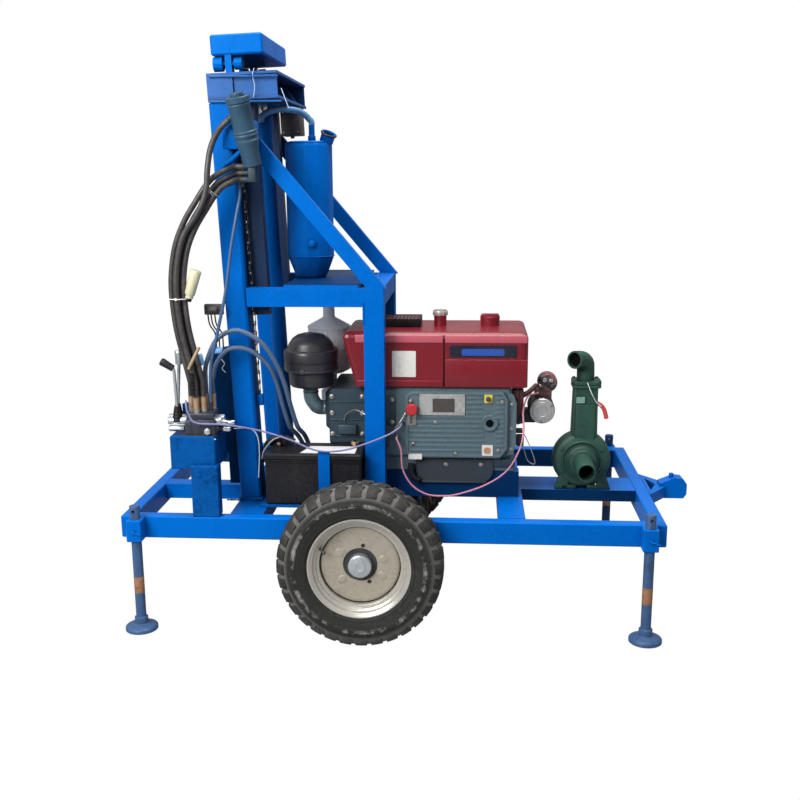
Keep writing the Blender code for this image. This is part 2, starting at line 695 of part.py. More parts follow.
MOTOR_TOP = Vector((MAST_X + 0.072, MAST_FACE[0] - 0.117, COL_TOP + 0.007))
MOTOR_FOOT = Vector((MAST_X + 0.108, MAST_FACE[0] - 0.065, COL_TOP - 0.226))
MOTOR_R = 0.043
MOTOR_DOWN = (MOTOR_FOOT - MOTOR_TOP).normalized()
SIDE_WAY = Vector((-0.75, 0, -0.66)).normalized()
SIDE_PORT = MOTOR_TOP.lerp(MOTOR_FOOT, 0.18) + SIDE_WAY * 0.055
BRACKET_Z = COL_TOP - 0.121
FOOT_BLOCK = (MOTOR_FOOT.x - 0.014, MOTOR_FOOT.x + 0.014)
DRAIN_PORT = Vector((FOOT_BLOCK[0] - 0.006, MOTOR_FOOT.y + 0.036, MOTOR_FOOT.z - 0.041))
HOSE_SEAT = Vector((FOOT_BLOCK[0] - 0.021, MOTOR_FOOT.y - 0.006, MOTOR_FOOT.z - 0.028))
HOSE_PITCH = 0.0228
HOSE_SPOTS = ((0.0, -0.8), (-1.0, 0.1), (1.0, 0.1), (0.0, 0.55))       # across the bow and behind it


def feed_motor():
    length = (MOTOR_FOOT - MOTOR_TOP).length
    r = MOTOR_R
    profile = [(0, -0.012), (0.024, -0.012), (0.024, 0), (r, 0), (r, 0.022), (r - 0.004, 0.026),
               (r - 0.004, 0.120), (r + 0.001, 0.124), (r + 0.001, 0.140), (r - 0.003, 0.144),
               (r - 0.003, 0.152), (r, 0.156), (r, 0.172), (r - 0.006, 0.180), (r - 0.010, length),
               (0, length)]
    obj = turned([(a, length - b) for a, b in reversed(profile)], MOTOR_FOOT, -MOTOR_DOWN, 18)
    mid = MOTOR_TOP.lerp(MOTOR_FOOT, 0.55)
    bracket = box((MAST_X + 0.003, mid.x + 0.03), (mid.y + 0.01, MAST_FACE[0] - GAP),
                  (BRACKET_Z - 0.05, BRACKET_Z + 0.05), 0.004)
    side_port = bar(SIDE_PORT - SIDE_WAY * 0.045, SIDE_PORT, 0.0115, 12)
    foot = box(FOOT_BLOCK, (MOTOR_FOOT.y - 0.024, MOTOR_FOOT.y + 0.047),
               (MOTOR_FOOT.z - 0.060, MOTOR_FOOT.z + 0.010))
    drain = bar(DRAIN_PORT + Vector((0.012, 0, 0)), DRAIN_PORT, 0.008, 12)
    tube = bar((mid.x, mid.y + 0.030, BRACKET_Z - 0.035), (mid.x - 0.092, mid.y + 0.020, BRACKET_Z - 0.115),
               0.009, 10)
    ports = []
    for across, back in HOSE_SPOTS[1:]:
        seat = HOSE_SEAT + Vector((0, back * HOSE_PITCH, -across * HOSE_PITCH))
        ports.append(bar(seat + Vector((0.028, 0, 0)), seat, 0.0108, 12))
    return joined(obj, bracket, side_port, foot, drain, tube, *ports)


piece("feed_motor", feed_motor(), MOTOR_GREY, DECK)


# Control stand, valve block and levers at the rear corner

STAND_TOP = 0.305
SHELF_Z0 = 0.178
SHELF_X = (MAST_X - 0.215, MAST_X - 0.045)
SHELF_Y = (-RAIL_Y + 0.022, -RAIL_Y + 0.202)


def control_stand():
    post = box((MAST_X - 0.136, MAST_X - 0.034), (-RAIL_Y + 0.002, -RAIL_Y + 0.054), (GAP, SHELF_Z0 + 0.02),
               0.003)
    shelf = box(SHELF_X, SHELF_Y, (SHELF_Z0, STAND_TOP), 0.004)
    return joined(shelf, post)


piece("control_stand", control_stand(), FRAME_BLUE, DECK)

VALVE_X = (MAST_X - 0.156, MAST_X - 0.043)
VALVE_Y = (-RAIL_Y + 0.032, -RAIL_Y + 0.132)
VALVE_Z = (STAND_TOP + GAP, STAND_TOP + 0.085)
PORT_TOP = VALVE_Z[1] + 0.058
PORT_MID = (MAST_X - 0.1155, -RAIL_Y + 0.067)
ARCH_PORTS = [(MAST_X - 0.094, -RAIL_Y + 0.117), (MAST_X - 0.068, -RAIL_Y + 0.117)]
DRAIN_SEAT = (MAST_X - 0.070, -RAIL_Y + 0.087)
CABLE_SEAT = (MAST_X - 0.149, -RAIL_Y + 0.039, VALVE_Z[1] + 0.012)
LEVER_X = MAST_X - 0.190
LEVERS = (                    # spool's y and the lever's foot, then its bend and the grip's end as x, y, z
    (-RAIL_Y + 0.057, LEVER_X, (LEVER_X - 0.0045, -RAIL_Y + 0.057, 0.552),
     (LEVER_X - 0.053, -RAIL_Y + 0.060, 0.581)),
    (-RAIL_Y + 0.102, LEVER_X - 0.010, (LEVER_X + 0.002, -RAIL_Y + 0.101, 0.565),
     (LEVER_X + 0.004, -RAIL_Y + 0.099, 0.615)),
)


def valve_block():
    z0, z1 = VALVE_Z
    obj = box(VALVE_X, VALVE_Y, VALVE_Z, 0.005)
    gauge = bar((VALVE_X[1] - 0.0295, VALVE_Y[0] + 0.005, z0 + 0.018),
                (VALVE_X[1] - 0.0295, VALVE_Y[0] - 0.010, z0 + 0.018), 0.013, 14)
    obj = joined(obj, gauge)
    for y, x, turn, tip in LEVERS:
        spool = bar((x - 0.035, y, z0 + 0.052), (VALVE_X[1] + 0.020, y, z0 + 0.052), 0.015, 12)
        boot = bar((x, y, z0 + 0.050), (x, y, z0 + 0.105), 0.020, 12, 0.010)
        lever = bar((x, y, z0 + 0.090), turn, 0.006, 8)
        obj = joined(obj, spool, boot, lever, bar(turn, tip, 0.0125, 10, 0.0150))
    ports = [(PORT_MID[0] + a * HOSE_PITCH, PORT_MID[1] + b * HOSE_PITCH) for a, b in HOSE_SPOTS]
    for x, y in ports + ARCH_PORTS:
        obj = joined(obj, bar((x, y, z1 - 0.01), (x, y, PORT_TOP), 0.0108, 10))
    x, y = DRAIN_SEAT
    obj = joined(obj, bar((x, y, z1 - 0.01), (x, y, z1 + 0.030), 0.008, 10))
    x, y, z = CABLE_SEAT
    return joined(obj, bar((x, y, z - 0.02), (x, y, z), 0.005, 8))


piece("valve_block", valve_block(), DARK_IRON, DECK)


# Battery on its tray between two sills

BAT_X = (MAST_SILL[1] - 0.006, POST_X[0] - 0.012)
BAT_Y = (MAST_FACE[0] - 0.067, MAST_FACE[0] + 0.105)
BAT_Z = (0.0086, 0.2025)


def battery():
    obj = box(BAT_X, BAT_Y, BAT_Z, 0.006)
    lid = box((BAT_X[0] - 0.004, BAT_X[1] + 0.004), (BAT_Y[0] - 0.004, BAT_Y[1] + 0.004),
              (BAT_Z[1] - 0.0175, BAT_Z[1] + 0.0075), 0.005)
    obj = joined(obj, lid)
    for x in (BAT_X[0] + 0.035, BAT_X[1] - 0.035):
        at = Vector((x, BAT_Y[1] - 0.03, BAT_Z[1]))
        obj = joined(obj, bar(at, at + Vector((0, 0, 0.0255)), 0.009, 12))
    return obj


def battery_tray():
    out, inn, z1 = 0.012, 0.008, BAT_Z[0] + 0.030
    obj = outline("YZ", (MAST_SILL[1] - 0.028, POST_X[0] - 0.005),
                  [(BAT_Y[0] - out, GAP), (BAT_Y[1] + out, GAP), (BAT_Y[1] + out, z1), (BAT_Y[1] + inn, z1),
                   (BAT_Y[1] + inn, BAT_Z[0] - GAP), (BAT_Y[0] - out, BAT_Z[0] - GAP)])
    mid = (BAT_X[0] + BAT_X[1]) / 2 + 0.046
    clamp = box((mid - 0.022, mid + 0.022), (BAT_Y[0] - out, BAT_Y[0] - 0.0045), (0.004, BAT_Z[1] + 0.024))
    return joined(obj, clamp)


piece("battery", battery(), BATTERY_BLACK, DECK)
piece("battery_tray", battery_tray(), FRAME_BLUE, DECK)


# Single-cylinder engine, lying, with its crankcase over two bearers

THROTTLE_SEAT = (CASE_X[0] + 0.140, CASE_Y[0] - 0.024, CASE_Z[0] + 0.145)
STARTER_SEAT = (CASE_X[0] + 0.122, CASE_Y[0] - 0.024, CASE_Z[0] + 0.090)


def crankcase():
    obj = box(CASE_X, CASE_Y, CASE_Z, 0.012)
    x0, x1 = CASE_X[0] + 0.155, CASE_X[1] - 0.015
    z0, z1 = CASE_Z[0] + 0.008, CASE_Z[1] - 0.013
    cover = outline("XZ", (CASE_Y[0] - 0.022, CASE_Y[0] + 0.01),
                    [(x0, z0 + 0.02), (x0 + 0.02, z0), (x1 - 0.03, z0), (x1, z0 + 0.035),
                     (x1, z1 - 0.03), (x1 - 0.02, z1), (x0 + 0.02, z1), (x0, z1 - 0.02)])
    feet = box((CASE_X[0], CASE_X[1] + 0.015), (BED_Y[0][0], BED_Y[1][1]), (BED_H, CASE_Z[0] + 0.010), 0.004)
    p0, p1, zp = CASE_X[0] + 0.197, CASE_X[1] - 0.062, CASE_Z[0]
    pan = outline("XZ", (CASE_Y[0] + 0.070, CASE_Y[1] - 0.070),
                  [(p0, zp), (p0, zp - 0.070), (p0 + 0.023, zp - 0.096), (p1 - 0.023, zp - 0.096),
                   (p1, zp - 0.070), (p1, zp)])
    glands = [bar((x, y + 0.034, z), (x, y, z), 0.006, 8) for x, y, z in (THROTTLE_SEAT, STARTER_SEAT)]
    return joined(obj, cover, feet, pan, *glands)


def cylinder_head():
    obj = box((CASE_X[0] - 0.152, CASE_X[0] - GAP), (CASE_Y[0] + 0.035, CASE_Y[1] - 0.060),
              (CASE_Z[0] + 0.040, CASE_Z[1] - 0.019), 0.010)
    cover = box((CASE_X[0] - 0.172, CASE_X[0] - 0.140), (CASE_Y[0] + 0.080, CASE_Y[1] - 0.110),
                (CASE_Z[0] + 0.090, CASE_Z[1] - 0.033), 0.012)
    return joined(obj, cover)


def hood():
    """Fuel tank and water hopper in one casing, its rear end slanting out."""
    z0, z1 = CASE_Z[1] + GAP, CASE_Z[1] + HOOD_H
    xa, xb = CASE_X[0] - 0.040, CASE_X[1] + HOOD_OVER
    obj = outline("XZ", (CASE_Y[0] - 0.005, CASE_Y[1] - 0.070),
                  [(xa + 0.010, z0 - 0.04), (xb, z0 - 0.04), (xb, z1), (xa - 0.046, z1),
                   (xa - 0.050, z1 - 0.03)])
    mod = obj.modifiers.new("round", "BEVEL")
    mod.width = 0.022
    mod.segments = 3
    mod.limit_method = "ANGLE"
    obj = cut(closed(obj), box((xa - 0.2, xb + 0.1), (CASE_Y[0] - 0.1, CASE_Y[1]), (z0 - 0.1, z0)))
    water = bar((xb - 0.144, CASE_Y[0] + 0.200, z1 - 0.01), (xb - 0.144, CASE_Y[0] + 0.200, z1 + 0.040),
                0.038, 18)
    fuel = bar((xb - 0.342, CASE_Y[0] + 0.190, z1 - 0.01), (xb - 0.342, CASE_Y[0] + 0.190, z1 + 0.062),
               0.025, 16)
    grille = box((xb - 0.569, xb - 0.419), (CASE_Y[0] + 0.130, CASE_Y[0] + 0.270), (z1 - 0.01, z1 + 0.030),
                 0.006)
    return joined(obj, water, fuel, grille)


piece("engine_crankcase", crankcase(), ENGINE_GREY, DECK)
piece("cylinder_head", cylinder_head(), ENGINE_GREY, DECK)
piece("engine_hood", hood(), HOOD_RED, DECK)

CLEANER = (CASE_X[0] - 0.225, CASE_Y[0] + 0.080, CASE_Z[1] - 0.015)


def air_cleaner():
    """A standing drum with a domed lid."""
    return turned([(0, 0), (0.070, 0), (0.086, 0.010), (0.090, 0.060), (0.104, 0.066), (0.107, 0.075),
                   (0.107, 0.140), (0.100, 0.150), (0.075, 0.195), (0.030, 0.212), (0, 0.214)],
                  CLEANER, (0, 0, 1), 22)


def intake_elbow():
    x, y, z = CLEANER[0] - 0.005, CLEANER[1] + 0.005, CLEANER[2]
    head_x = CASE_X[0] - 0.172 - 0.0008
    route = [(x, y, z - 3 * GAP), (x, y, z - 0.013), (x, y, z - 0.028), (x + 0.003, y + 0.003, z - 0.053),
             (x + 0.018, y + 0.015, z - 0.086), (x + 0.030, y + 0.033, z - 0.0945),
             (x + 0.036, y + 0.035, z - 0.096), (x + 0.047, y + 0.035, z - 0.096),
             (head_x, y + 0.035, z - 0.096)]
    return closed(hose("tube", route, 0.0596, MOTOR_GREY, None, 0.4))


def muffler():
    """A standing drum with its outlet up and its inlet elbow on the head."""
    x, y, z = CASE_X[0] - 0.190, CASE_Y[1] - 0.070, CASE_Z[1] - 0.011
    drum = turned([(0, 0), (0.060, 0), (0.088, 0.016), (0.090, 0.026), (0.090, 0.188), (0.086, 0.198),
                   (0.026, 0.233), (0.024, 0.278), (0, 0.278)], (x, y, z), (0, 0, 1), 22)
    neck = bar((x, y, z - 0.082), (x, y, z + 0.008), 0.030, 16)
    elbow = box((x - 0.035, CASE_X[0] - 0.152 - GAP), (y - 0.030, y + 0.005), (z - 0.127, z - 0.072), 0.006)
    return joined(drum, neck, elbow)


piece("air_cleaner", air_cleaner(), BATTERY_BLACK, DECK)
piece("intake_elbow", intake_elbow(), MOTOR_GREY, DECK)
piece("muffler", muffler(), SILVER, DECK)


# Belt drive on the far side: flywheel, belts, and the gear pump's pulley below

FLY_X, FLY_Z = CASE_X[0] + 0.310, CASE_Z[0] + 0.120
FLY_Y = CASE_Y[1] + GAP
PULLEY_X, PULLEY_Z = FLY_X - 0.140, -0.185
BELT_Y = (FLY_Y + 0.030, FLY_Y + 0.064)
GEAR_Y = CASE_Y[1] - 0.030


def flywheel():
    profile = [(0, FLY_W), (0.035, FLY_W), (0.040, 0.045), (0.120, 0.045), (0.150, 0.060),
               (0.165, FLY_W), (FLY_R, FLY_W), (FLY_R, 0.012), (0.045, 0.012), (0.045, 0), (0, 0)]
    return turned(profile, (FLY_X, FLY_Y, FLY_Z), (0, 1, 0), 28)


def belt_loop(lift):
    """The line round flywheel and pulley, lifted off both by a set height."""
    top, low = Vector((FLY_X, FLY_Z)), Vector((PULLEY_X, PULLEY_Z))
    r_top, r_low = FLY_R + lift, PULLEY_R + lift
    line = low - top
    heading = math.atan2(line.y, line.x)
    half = math.acos((r_top - r_low) / line.length)
    loop = []
    wraps = ((top, r_top, half, TAU - 2 * half, 22), (low, r_low, -half, 2 * half, 10))
    for centre, r, start, sweep, steps in wraps:
        for i in range(steps + 1):
            turn = heading + start + sweep * i / steps
            loop.append((centre.x + r * math.cos(turn), centre.y + r * math.sin(turn)))
    return loop


def drive_pulley():
    y0 = BELT_Y[0] - 0.008
    width = BELT_Y[1] - BELT_Y[0] + 0.016
    tail = y0 - GEAR_Y - GAP
    profile = [(0, width), (0.022, width), (0.026, width - 0.014), (PULLEY_R - 0.014, width - 0.014),
               (PULLEY_R - 0.010, width), (PULLEY_R, width), (PULLEY_R, 0), (0.012, 0), (0.012, -tail), (0, -tail)]
    return turned(profile, (PULLEY_X, y0, PULLEY_Z), (0, 1, 0), 20)


def gear_pump():
    """The pump on a plate that hangs from the far engine bearer, with two ports on top."""
    plate = box((PULLEY_X - 0.055, PULLEY_X + 0.055), (GEAR_Y - 0.022, GEAR_Y - 0.004),
                (PULLEY_Z - 0.060, -0.003 - GAP), 0.003)
    body = box((PULLEY_X - 0.042, PULLEY_X + 0.042), (GEAR_Y - 0.115, GEAR_Y),
               (PULLEY_Z - 0.042, PULLEY_Z + 0.042),
               0.008)
    ports = [bar((x, GEAR_Y - 0.070, PULLEY_Z), (x, GEAR_Y - 0.070, GEAR_TOP), 0.0125, 12)
             for x in GEAR_PORTS]
    return joined(plate, body, *ports)


GEAR_TOP = PULLEY_Z + 0.062
GEAR_PORTS = (PULLEY_X - 0.020, PULLEY_X + 0.020)
piece("flywheel", flywheel(), DARK_IRON, DECK)
piece("drive_belts", outline("XZ", BELT_Y, belt_loop(GAP + 0.009), belt_loop(GAP + 0.0008)), RUBBER, DECK)
piece("drive_pulley", drive_pulley(), OXIDE_RED, DECK)
piece("gear_pump", gear_pump(), DARK_IRON, DECK)


# Generator at the engine's front end

GEN_X, GEN_Y, GEN_Z = CASE_X[1] + 0.125, CASE_Y[0] + 0.190, CASE_Z[0] + 0.166
GEN_SEAT = (GEN_X - 0.020, GEN_Y - 0.056, GEN_Z + 0.074)


def generator():
    obj = turned([(0, -0.075), (0.034, -0.075), (0.050, -0.060), (0.052, 0.060), (0.040, 0.075),
                  (0, 0.075)], (GEN_X, GEN_Y, GEN_Z), (0, 1, 0), 20)
    upper = box((GEN_X - 0.032, GEN_X + 0.052), (GEN_Y - 0.040, GEN_Y + 0.060), (GEN_Z + 0.034, GEN_Z + 0.139),
                0.008)
    arm = box((CASE_X[1] + GAP, GEN_X - 0.020), (GEN_Y, GEN_Y + 0.030), (GEN_Z - 0.066, GEN_Z - 0.006), 0.004)
    x, y, z = GEN_SEAT
    return joined(obj, upper, arm, bar((x, y + 0.030, z), (x, y, z), 0.006, 8))


piece("generator", generator(), DARK_IRON, DECK)


# Mud pump: volute, suction stub, discharge tower and its elbow

PUMP_Y = -0.080
PUMP_Z = PUMP_LIFT


def mud_pump():
    x, y, z = PUMP_X, PUMP_Y, PUMP_Z
    r = PUMP_R
    volute = turned([(0, -0.060), (0.050, -0.060), (0.060, -0.048), (r - 0.017, -0.044), (r, -0.025),
                     (r, 0.025), (r - 0.017, 0.044), (0.060, 0.048), (0.055, 0.180), (0.030, 0.190),
                     (0.030, 0.240), (0, 0.240)], (x, y, z), (0, 1, 0), 24)
    suction = bar((x, y - 0.050, z), (x, y - 0.220, z), 0.036, 16)
    bore = bar((x, y - 0.140, z), (x, y - 0.240, z), 0.029, 16)
    tower = outline("XZ", (y - 0.038, y + 0.038),
                    [(x - 0.044, z + 0.039), (x + 0.059, z + 0.039), (x + 0.056, z + 0.309), (x - 0.038, z + 0.309)])
    collar = box((x - 0.046, x + 0.068), (y - 0.048, y + 0.048), (z + 0.294, z + 0.325), 0.006)
    xe = x + 0.008
    elbow = bar((xe, y, z + 0.319), (xe, y, z + 0.414), 0.036, 16)
    mouth = bar((xe - 0.052, y - 0.062, z + 0.414), (xe, y, z + 0.404), 0.034, 16)
    top = ball((xe, y, z + 0.407), 0.0365, 12)
    feet = box((x - 0.079, x + 0.081), (y - 0.040, y + 0.120), (GAP, 0.018), 0.003)
    web = box((x - 0.044, x + 0.046), (y + 0.050, y + 0.100), (0.01, z - 0.02))
    return cut(joined(volute, suction, tower, collar, elbow, mouth, top, feet, web), bore)


piece("mud_pump", mud_pump(), PUMP_GREEN, DECK)


# Hoses and cables, each from one fitting to another

HOSE_D = 0.021
ARCH_D = 0.018
THICK_D = 0.024
THIN_D = 0.012
CABLE_D = 0.007
STRAIGHT = (3 * GAP, 0.020, 0.036, 0.052)      # straight out of a port
BOW_Y = MAST_FACE[0] - 0.140


def out_of(seat, way, lengths=STRAIGHT):
    return [Vector(seat) + Vector(way) * h for h in lengths]


def bundle_centre():
    """The four motor hoses' middle line: from the motor's foot, in a wide bow, down to the valve."""
    bow = [(0.037, 0.045, 1.247), (-0.001, 0.022, 1.228), (-0.034, 0.010, 1.194), (-0.0735, 0.001, 1.134),
           (-0.112, 0, 1.074), (-0.148, 0, 0.990), (-0.167, 0, 0.880), (-0.166, 0, 0.785), (-0.156, 0, 0.690),
           (-0.137, 0, 0.600)]
    start = out_of(HOSE_SEAT, (-1, 0, 0), (3 * GAP, 0.012, 0.024))
    end = [Vector((*PORT_MID, PORT_TOP + h)) for h in STRAIGHT[::-1]]
    middle = smooth_route(start + [Vector((MAST_X + x, BOW_Y + y, z)) for x, y, z in bow] + end, 0.036)
    return start + [p for p in middle if p.x < HOSE_SEAT.x - 0.036 and p.z > PORT_TOP + 0.070] + end


def beside(route, across, back):
    """A line beside a route: across it in the bow's own plane, and back from it in Y."""
    out = []
    for i, p in enumerate(route):
        ahead = route[min(i + 1, len(route) - 1)] - route[max(i - 1, 0)]
        normal = Vector((-ahead.z, 0, ahead.x)).normalized()
        behind = normal.cross(ahead.normalized()).normalized()
        out.append(p + (normal * across + behind * back) * HOSE_PITCH)
    return out


centre = bundle_centre()
for i, (across, back) in enumerate(HOSE_SPOTS):
    route = beside(centre, across, back)
    if i == 0:
        x, y, z = SIDE_PORT
        tail = [p for p in route if p.z < 1.06]
        bend = [(x - 0.049, y - 0.016, z - 0.061), (x - 0.064, y - 0.030, z - 0.107),
                (x - 0.072, y - 0.045, z - 0.170), (x - 0.078, y - 0.050, z - 0.236),
                (x - 0.098, y - 0.054, z - 0.296), (x - 0.128, y - 0.053, z - 0.344)]
        route = smooth_route(out_of(SIDE_PORT, SIDE_WAY, (3 * GAP, 0.012, 0.024, 0.036))
                             + [Vector(p) for p in bend], 0.036) + tail
    hose("motor_hose_%d" % (i + 1), route, HOSE_D, HOSE_BLACK, DECK, 0)

ARCHES = (                          # name, port, bow as x, y, z, and how far the tail lies beside
    ("arch_hose_upper", 0, [(-0.690, -0.420, 0.560), (-0.650, -0.415, 0.648), (-0.587, -0.410, 0.684),
                            (-0.533, -0.405, 0.672), (-0.479, -0.395, 0.632), (-0.437, -0.380, 0.560),
                            (-0.410, -0.360, 0.480)], 0),
    ("arch_hose_lower", 1, [(-0.653, -0.415, 0.560), (-0.618, -0.408, 0.606), (-0.573, -0.400, 0.618),
                            (-0.519, -0.392, 0.602), (-0.465, -0.380, 0.550), (-0.440, -0.355, 0.480)], 0.030),
)
for name, port, bow, aside in ARCHES:
    x, y = GEAR_PORTS[port], GEAR_Y - 0.070
    tail = [(-0.392 - aside, -0.330, 0.380), (-0.375 - aside, -0.290, 0.290),
            (-0.365 - 0.7 * aside, -0.190 - 0.7 * aside, 0.230), (-0.330 - 0.3 * aside, -0.120 - aside, 0.120),
            (-0.240, -0.080 - aside, 0.050), (-0.130, -0.050 - aside, 0.032), (-0.040, -0.020 - aside, 0.030),
            (x - 0.032, y - 0.055, 0.012), (x - 0.006, y - 0.014, -0.028)]
    hose(name, out_of((*ARCH_PORTS[port], PORT_TOP), (0, 0, 1)) + [Vector(p) for p in bow + tail]
         + out_of((x, y, GEAR_TOP), (0, 0, 1), STRAIGHT[::-1]), ARCH_D, HOSE_BLACK, DECK, 2.8)

drain = [(-0.537, -0.377, 1.234), (-0.544, -0.385, 1.205), (-0.545, -0.396, 1.166), (-0.5565, -0.415, 1.097),
         (-0.5765, -0.430, 0.986), (-0.5975, -0.445, 0.839), (-0.620, -0.450, 0.740), (-0.642, -0.454, 0.650),
         (-0.664, -0.455, 0.560)]
hose("drain_hose", out_of(DRAIN_PORT, (-1, 0, 0), (3 * GAP, 0.008, 0.016)) + [Vector(p) for p in drain]
     + out_of((*DRAIN_SEAT, VALVE_Z[1] + 0.030), (0, 0, 1), (0.040, 0.026, 0.013, 3 * GAP)),
     THIN_D, HOSE_BLUE, DECK, 1.3)


def on_mast(u, v, w):
    """A point of the leaning mast, in the deck's own axes."""
    return Vector((MAST_X + u * math.cos(LEAN) - w * math.sin(LEAN), MAST_Y + v,
                   u * math.sin(LEAN) + w * math.cos(LEAN)))


port = on_mast(BARREL_U, -BARREL_R - 0.016, PORT_W)
bend = [(0.006, -0.046, 0.006), (0.022, -0.058, 0.018), (0.046, -0.056, 0.030), (0.080, -0.038, 0.037),
        (0.112, -0.010, 0.038), (0.142, 0.014, 0.033), (0.166, 0.029, 0.020), (0.181, 0.036, 0.003)]
hose("tank_hose", out_of(port, (0, -1, 0), (3 * GAP, 0.012, 0.024)) + [port + Vector(p) for p in bend]
     + out_of(TANK_BARB, (0, 0, 1), (0.012, 3 * GAP)), THICK_D, HOSE_BLUE, DECK, 0.5)

x, y, z = CABLE_SEAT
throttle = [(x + 0.002, y - 0.012, z + 0.036), (x + 0.006, y - 0.028, z + 0.030), (x + 0.014, y - 0.034, z - 0.004),
            (-0.707, -0.536, 0.361), (-0.606, -0.508, 0.348), (-0.494, -0.455, 0.315), (-0.383, -0.435, 0.276),
            (-0.284, -0.430, 0.234), (-0.192, -0.410, 0.228), (-0.106, -0.380, 0.246), (-0.020, -0.360, 0.277),
            (0.020, -0.335, 0.297)]
hose("throttle_cable", out_of(CABLE_SEAT, (0, 0, 1), (3 * GAP, 0.010, 0.020)) + [Vector(p) for p in throttle]
     + out_of(THROTTLE_SEAT, (0, -1, 0), (0.026, 0.013, 3 * GAP)), CABLE_D, LILAC, DECK, 2.2)

charge = [(0.030, -0.315, 0.205), (0.036, -0.318, 0.133), (0.071, -0.318, 0.069), (0.127, -0.318, 0.033),
          (0.190, -0.318, 0.026), (0.253, -0.318, 0.035), (0.356, -0.318, 0.073), (0.438, -0.318, 0.132),
          (0.484, -0.310, 0.212), (0.500, -0.285, 0.282), (0.500, -0.235, 0.350), (0.520, -0.180, 0.395)]
hose("charge_cable", out_of(STARTER_SEAT, (0, -1, 0), (3 * GAP, 0.010, 0.020, 0.030)) + [Vector(p) for p in charge]
     + out_of(GEN_SEAT, (0, -1, 0), (0.026, 0.013, 3 * GAP)), CABLE_D, PINK, DECK, 3)
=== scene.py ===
"""Looks of the small trailer-mounted water well drilling rig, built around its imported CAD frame.

Sizes are metres. A piece is modelled in the same axes as in the CAD source: CHASSIS counts from the
chassis' own middle, DECK has heights above the deck, and MAST is the leaning mast's u, v, w.
"""
import json
import math

import bmesh
import bpy
from mathutils import Matrix, Vector

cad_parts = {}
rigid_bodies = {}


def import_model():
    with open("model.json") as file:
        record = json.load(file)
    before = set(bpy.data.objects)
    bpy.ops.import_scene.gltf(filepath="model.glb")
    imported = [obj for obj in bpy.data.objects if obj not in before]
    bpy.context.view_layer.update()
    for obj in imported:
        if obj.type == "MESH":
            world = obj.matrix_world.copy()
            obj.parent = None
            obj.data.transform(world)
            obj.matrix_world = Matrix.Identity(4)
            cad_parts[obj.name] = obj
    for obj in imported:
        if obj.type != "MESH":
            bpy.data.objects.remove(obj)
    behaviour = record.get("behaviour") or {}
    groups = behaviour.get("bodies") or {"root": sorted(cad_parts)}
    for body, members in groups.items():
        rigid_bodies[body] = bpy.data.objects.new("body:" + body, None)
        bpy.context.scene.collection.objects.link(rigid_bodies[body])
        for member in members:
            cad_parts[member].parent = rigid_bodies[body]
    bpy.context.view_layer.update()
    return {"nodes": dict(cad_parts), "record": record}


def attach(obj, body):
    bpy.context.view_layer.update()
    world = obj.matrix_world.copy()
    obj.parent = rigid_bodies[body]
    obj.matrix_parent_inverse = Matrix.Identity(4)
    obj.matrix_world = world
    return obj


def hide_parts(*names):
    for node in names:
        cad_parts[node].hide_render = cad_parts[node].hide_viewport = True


for old in list(bpy.data.objects):
    bpy.data.objects.remove(old, do_unlink=True)
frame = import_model()

TAU = 2 * math.pi
LEAN = math.radians(2.3)
MIDDLE_X = -0.0865      # the chassis' middle in the shared frame
DECK_Z = 0.44
WHEEL_X, WHEEL_Y, AXLE_Z = -0.1845, 0.627, 0.305
CHAIN_PITCH = 0.0381
CYLINDER_U = 0.136      # the lift cylinder's axis on the mast
SPIN_R = 0.0158         # bore of the wheel's bearing
DARK_COLUMN_TOP = 1.94       # height up to which the sliding columns are coloured dark
NEAR, FAR, UP = (0, -1, 0), (0, 1, 0), (0, 0, 1)
HERE = Matrix.Identity(4)
CHASSIS = Matrix.Translation((MIDDLE_X, 0, 0))
DECK = Matrix.Translation((MIDDLE_X, 0, DECK_Z))
MAST = Matrix.Translation((-0.6865, -0.02, DECK_Z)) @ Matrix.Rotation(-LEAN, 4, "Y")


# Shader building blocks. The worn finish is one node group that all the paints share.

def new_group(name, inputs, outputs):
    """An empty shader group with its sockets, and its input and output nodes."""
    tree = bpy.data.node_groups.new(name, "ShaderNodeTree")
    for label, kind, value in inputs:
        socket = tree.interface.new_socket(label, in_out="INPUT", socket_type=kind)
        if value is not None:
            socket.default_value = value
    for label, kind in outputs:
        tree.interface.new_socket(label, in_out="OUTPUT", socket_type=kind)
    return tree, tree.nodes.new("NodeGroupInput"), tree.nodes.new("NodeGroupOutput")


def add(tree, kind, links=None, **values):
    """A node with its properties set and its inputs linked or given values."""
    node = tree.nodes.new(kind)
    for key, value in values.items():
        setattr(node, key, value)
    for key, source in (links or {}).items():
        if isinstance(source, bpy.types.NodeSocket):
            tree.links.new(source, node.inputs[key])
        else:
            node.inputs[key].default_value = source
    return node


def mix_color(tree, factor, a, b):
    node = add(tree, "ShaderNodeMix", data_type="RGBA", blend_type="MIX")
    for index, source in ((0, factor), (6, a), (7, b)):
        if isinstance(source, bpy.types.NodeSocket):
            tree.links.new(source, node.inputs[index])
        else:
            node.inputs[index].default_value = source
    return node.outputs[2]


def ramp(tree, source, low, high, a=0.0, b=1.0):
    return add(tree, "ShaderNodeMapRange", {0: source, 1: low, 2: high, 3: a, 4: b}).outputs[0]


def maths(tree, a, b, operation="MULTIPLY"):
    return add(tree, "ShaderNodeMath", {0: a, 1: b}, operation=operation).outputs[0]


def coordinate(tree, kind="Object", axis=None):
    """The texture coordinates of a kind, or one axis of them."""
    whole = add(tree, "ShaderNodeTexCoord").outputs[kind]
    return whole if axis is None else add(tree, "ShaderNodeSeparateXYZ", {0: whole}).outputs[axis]


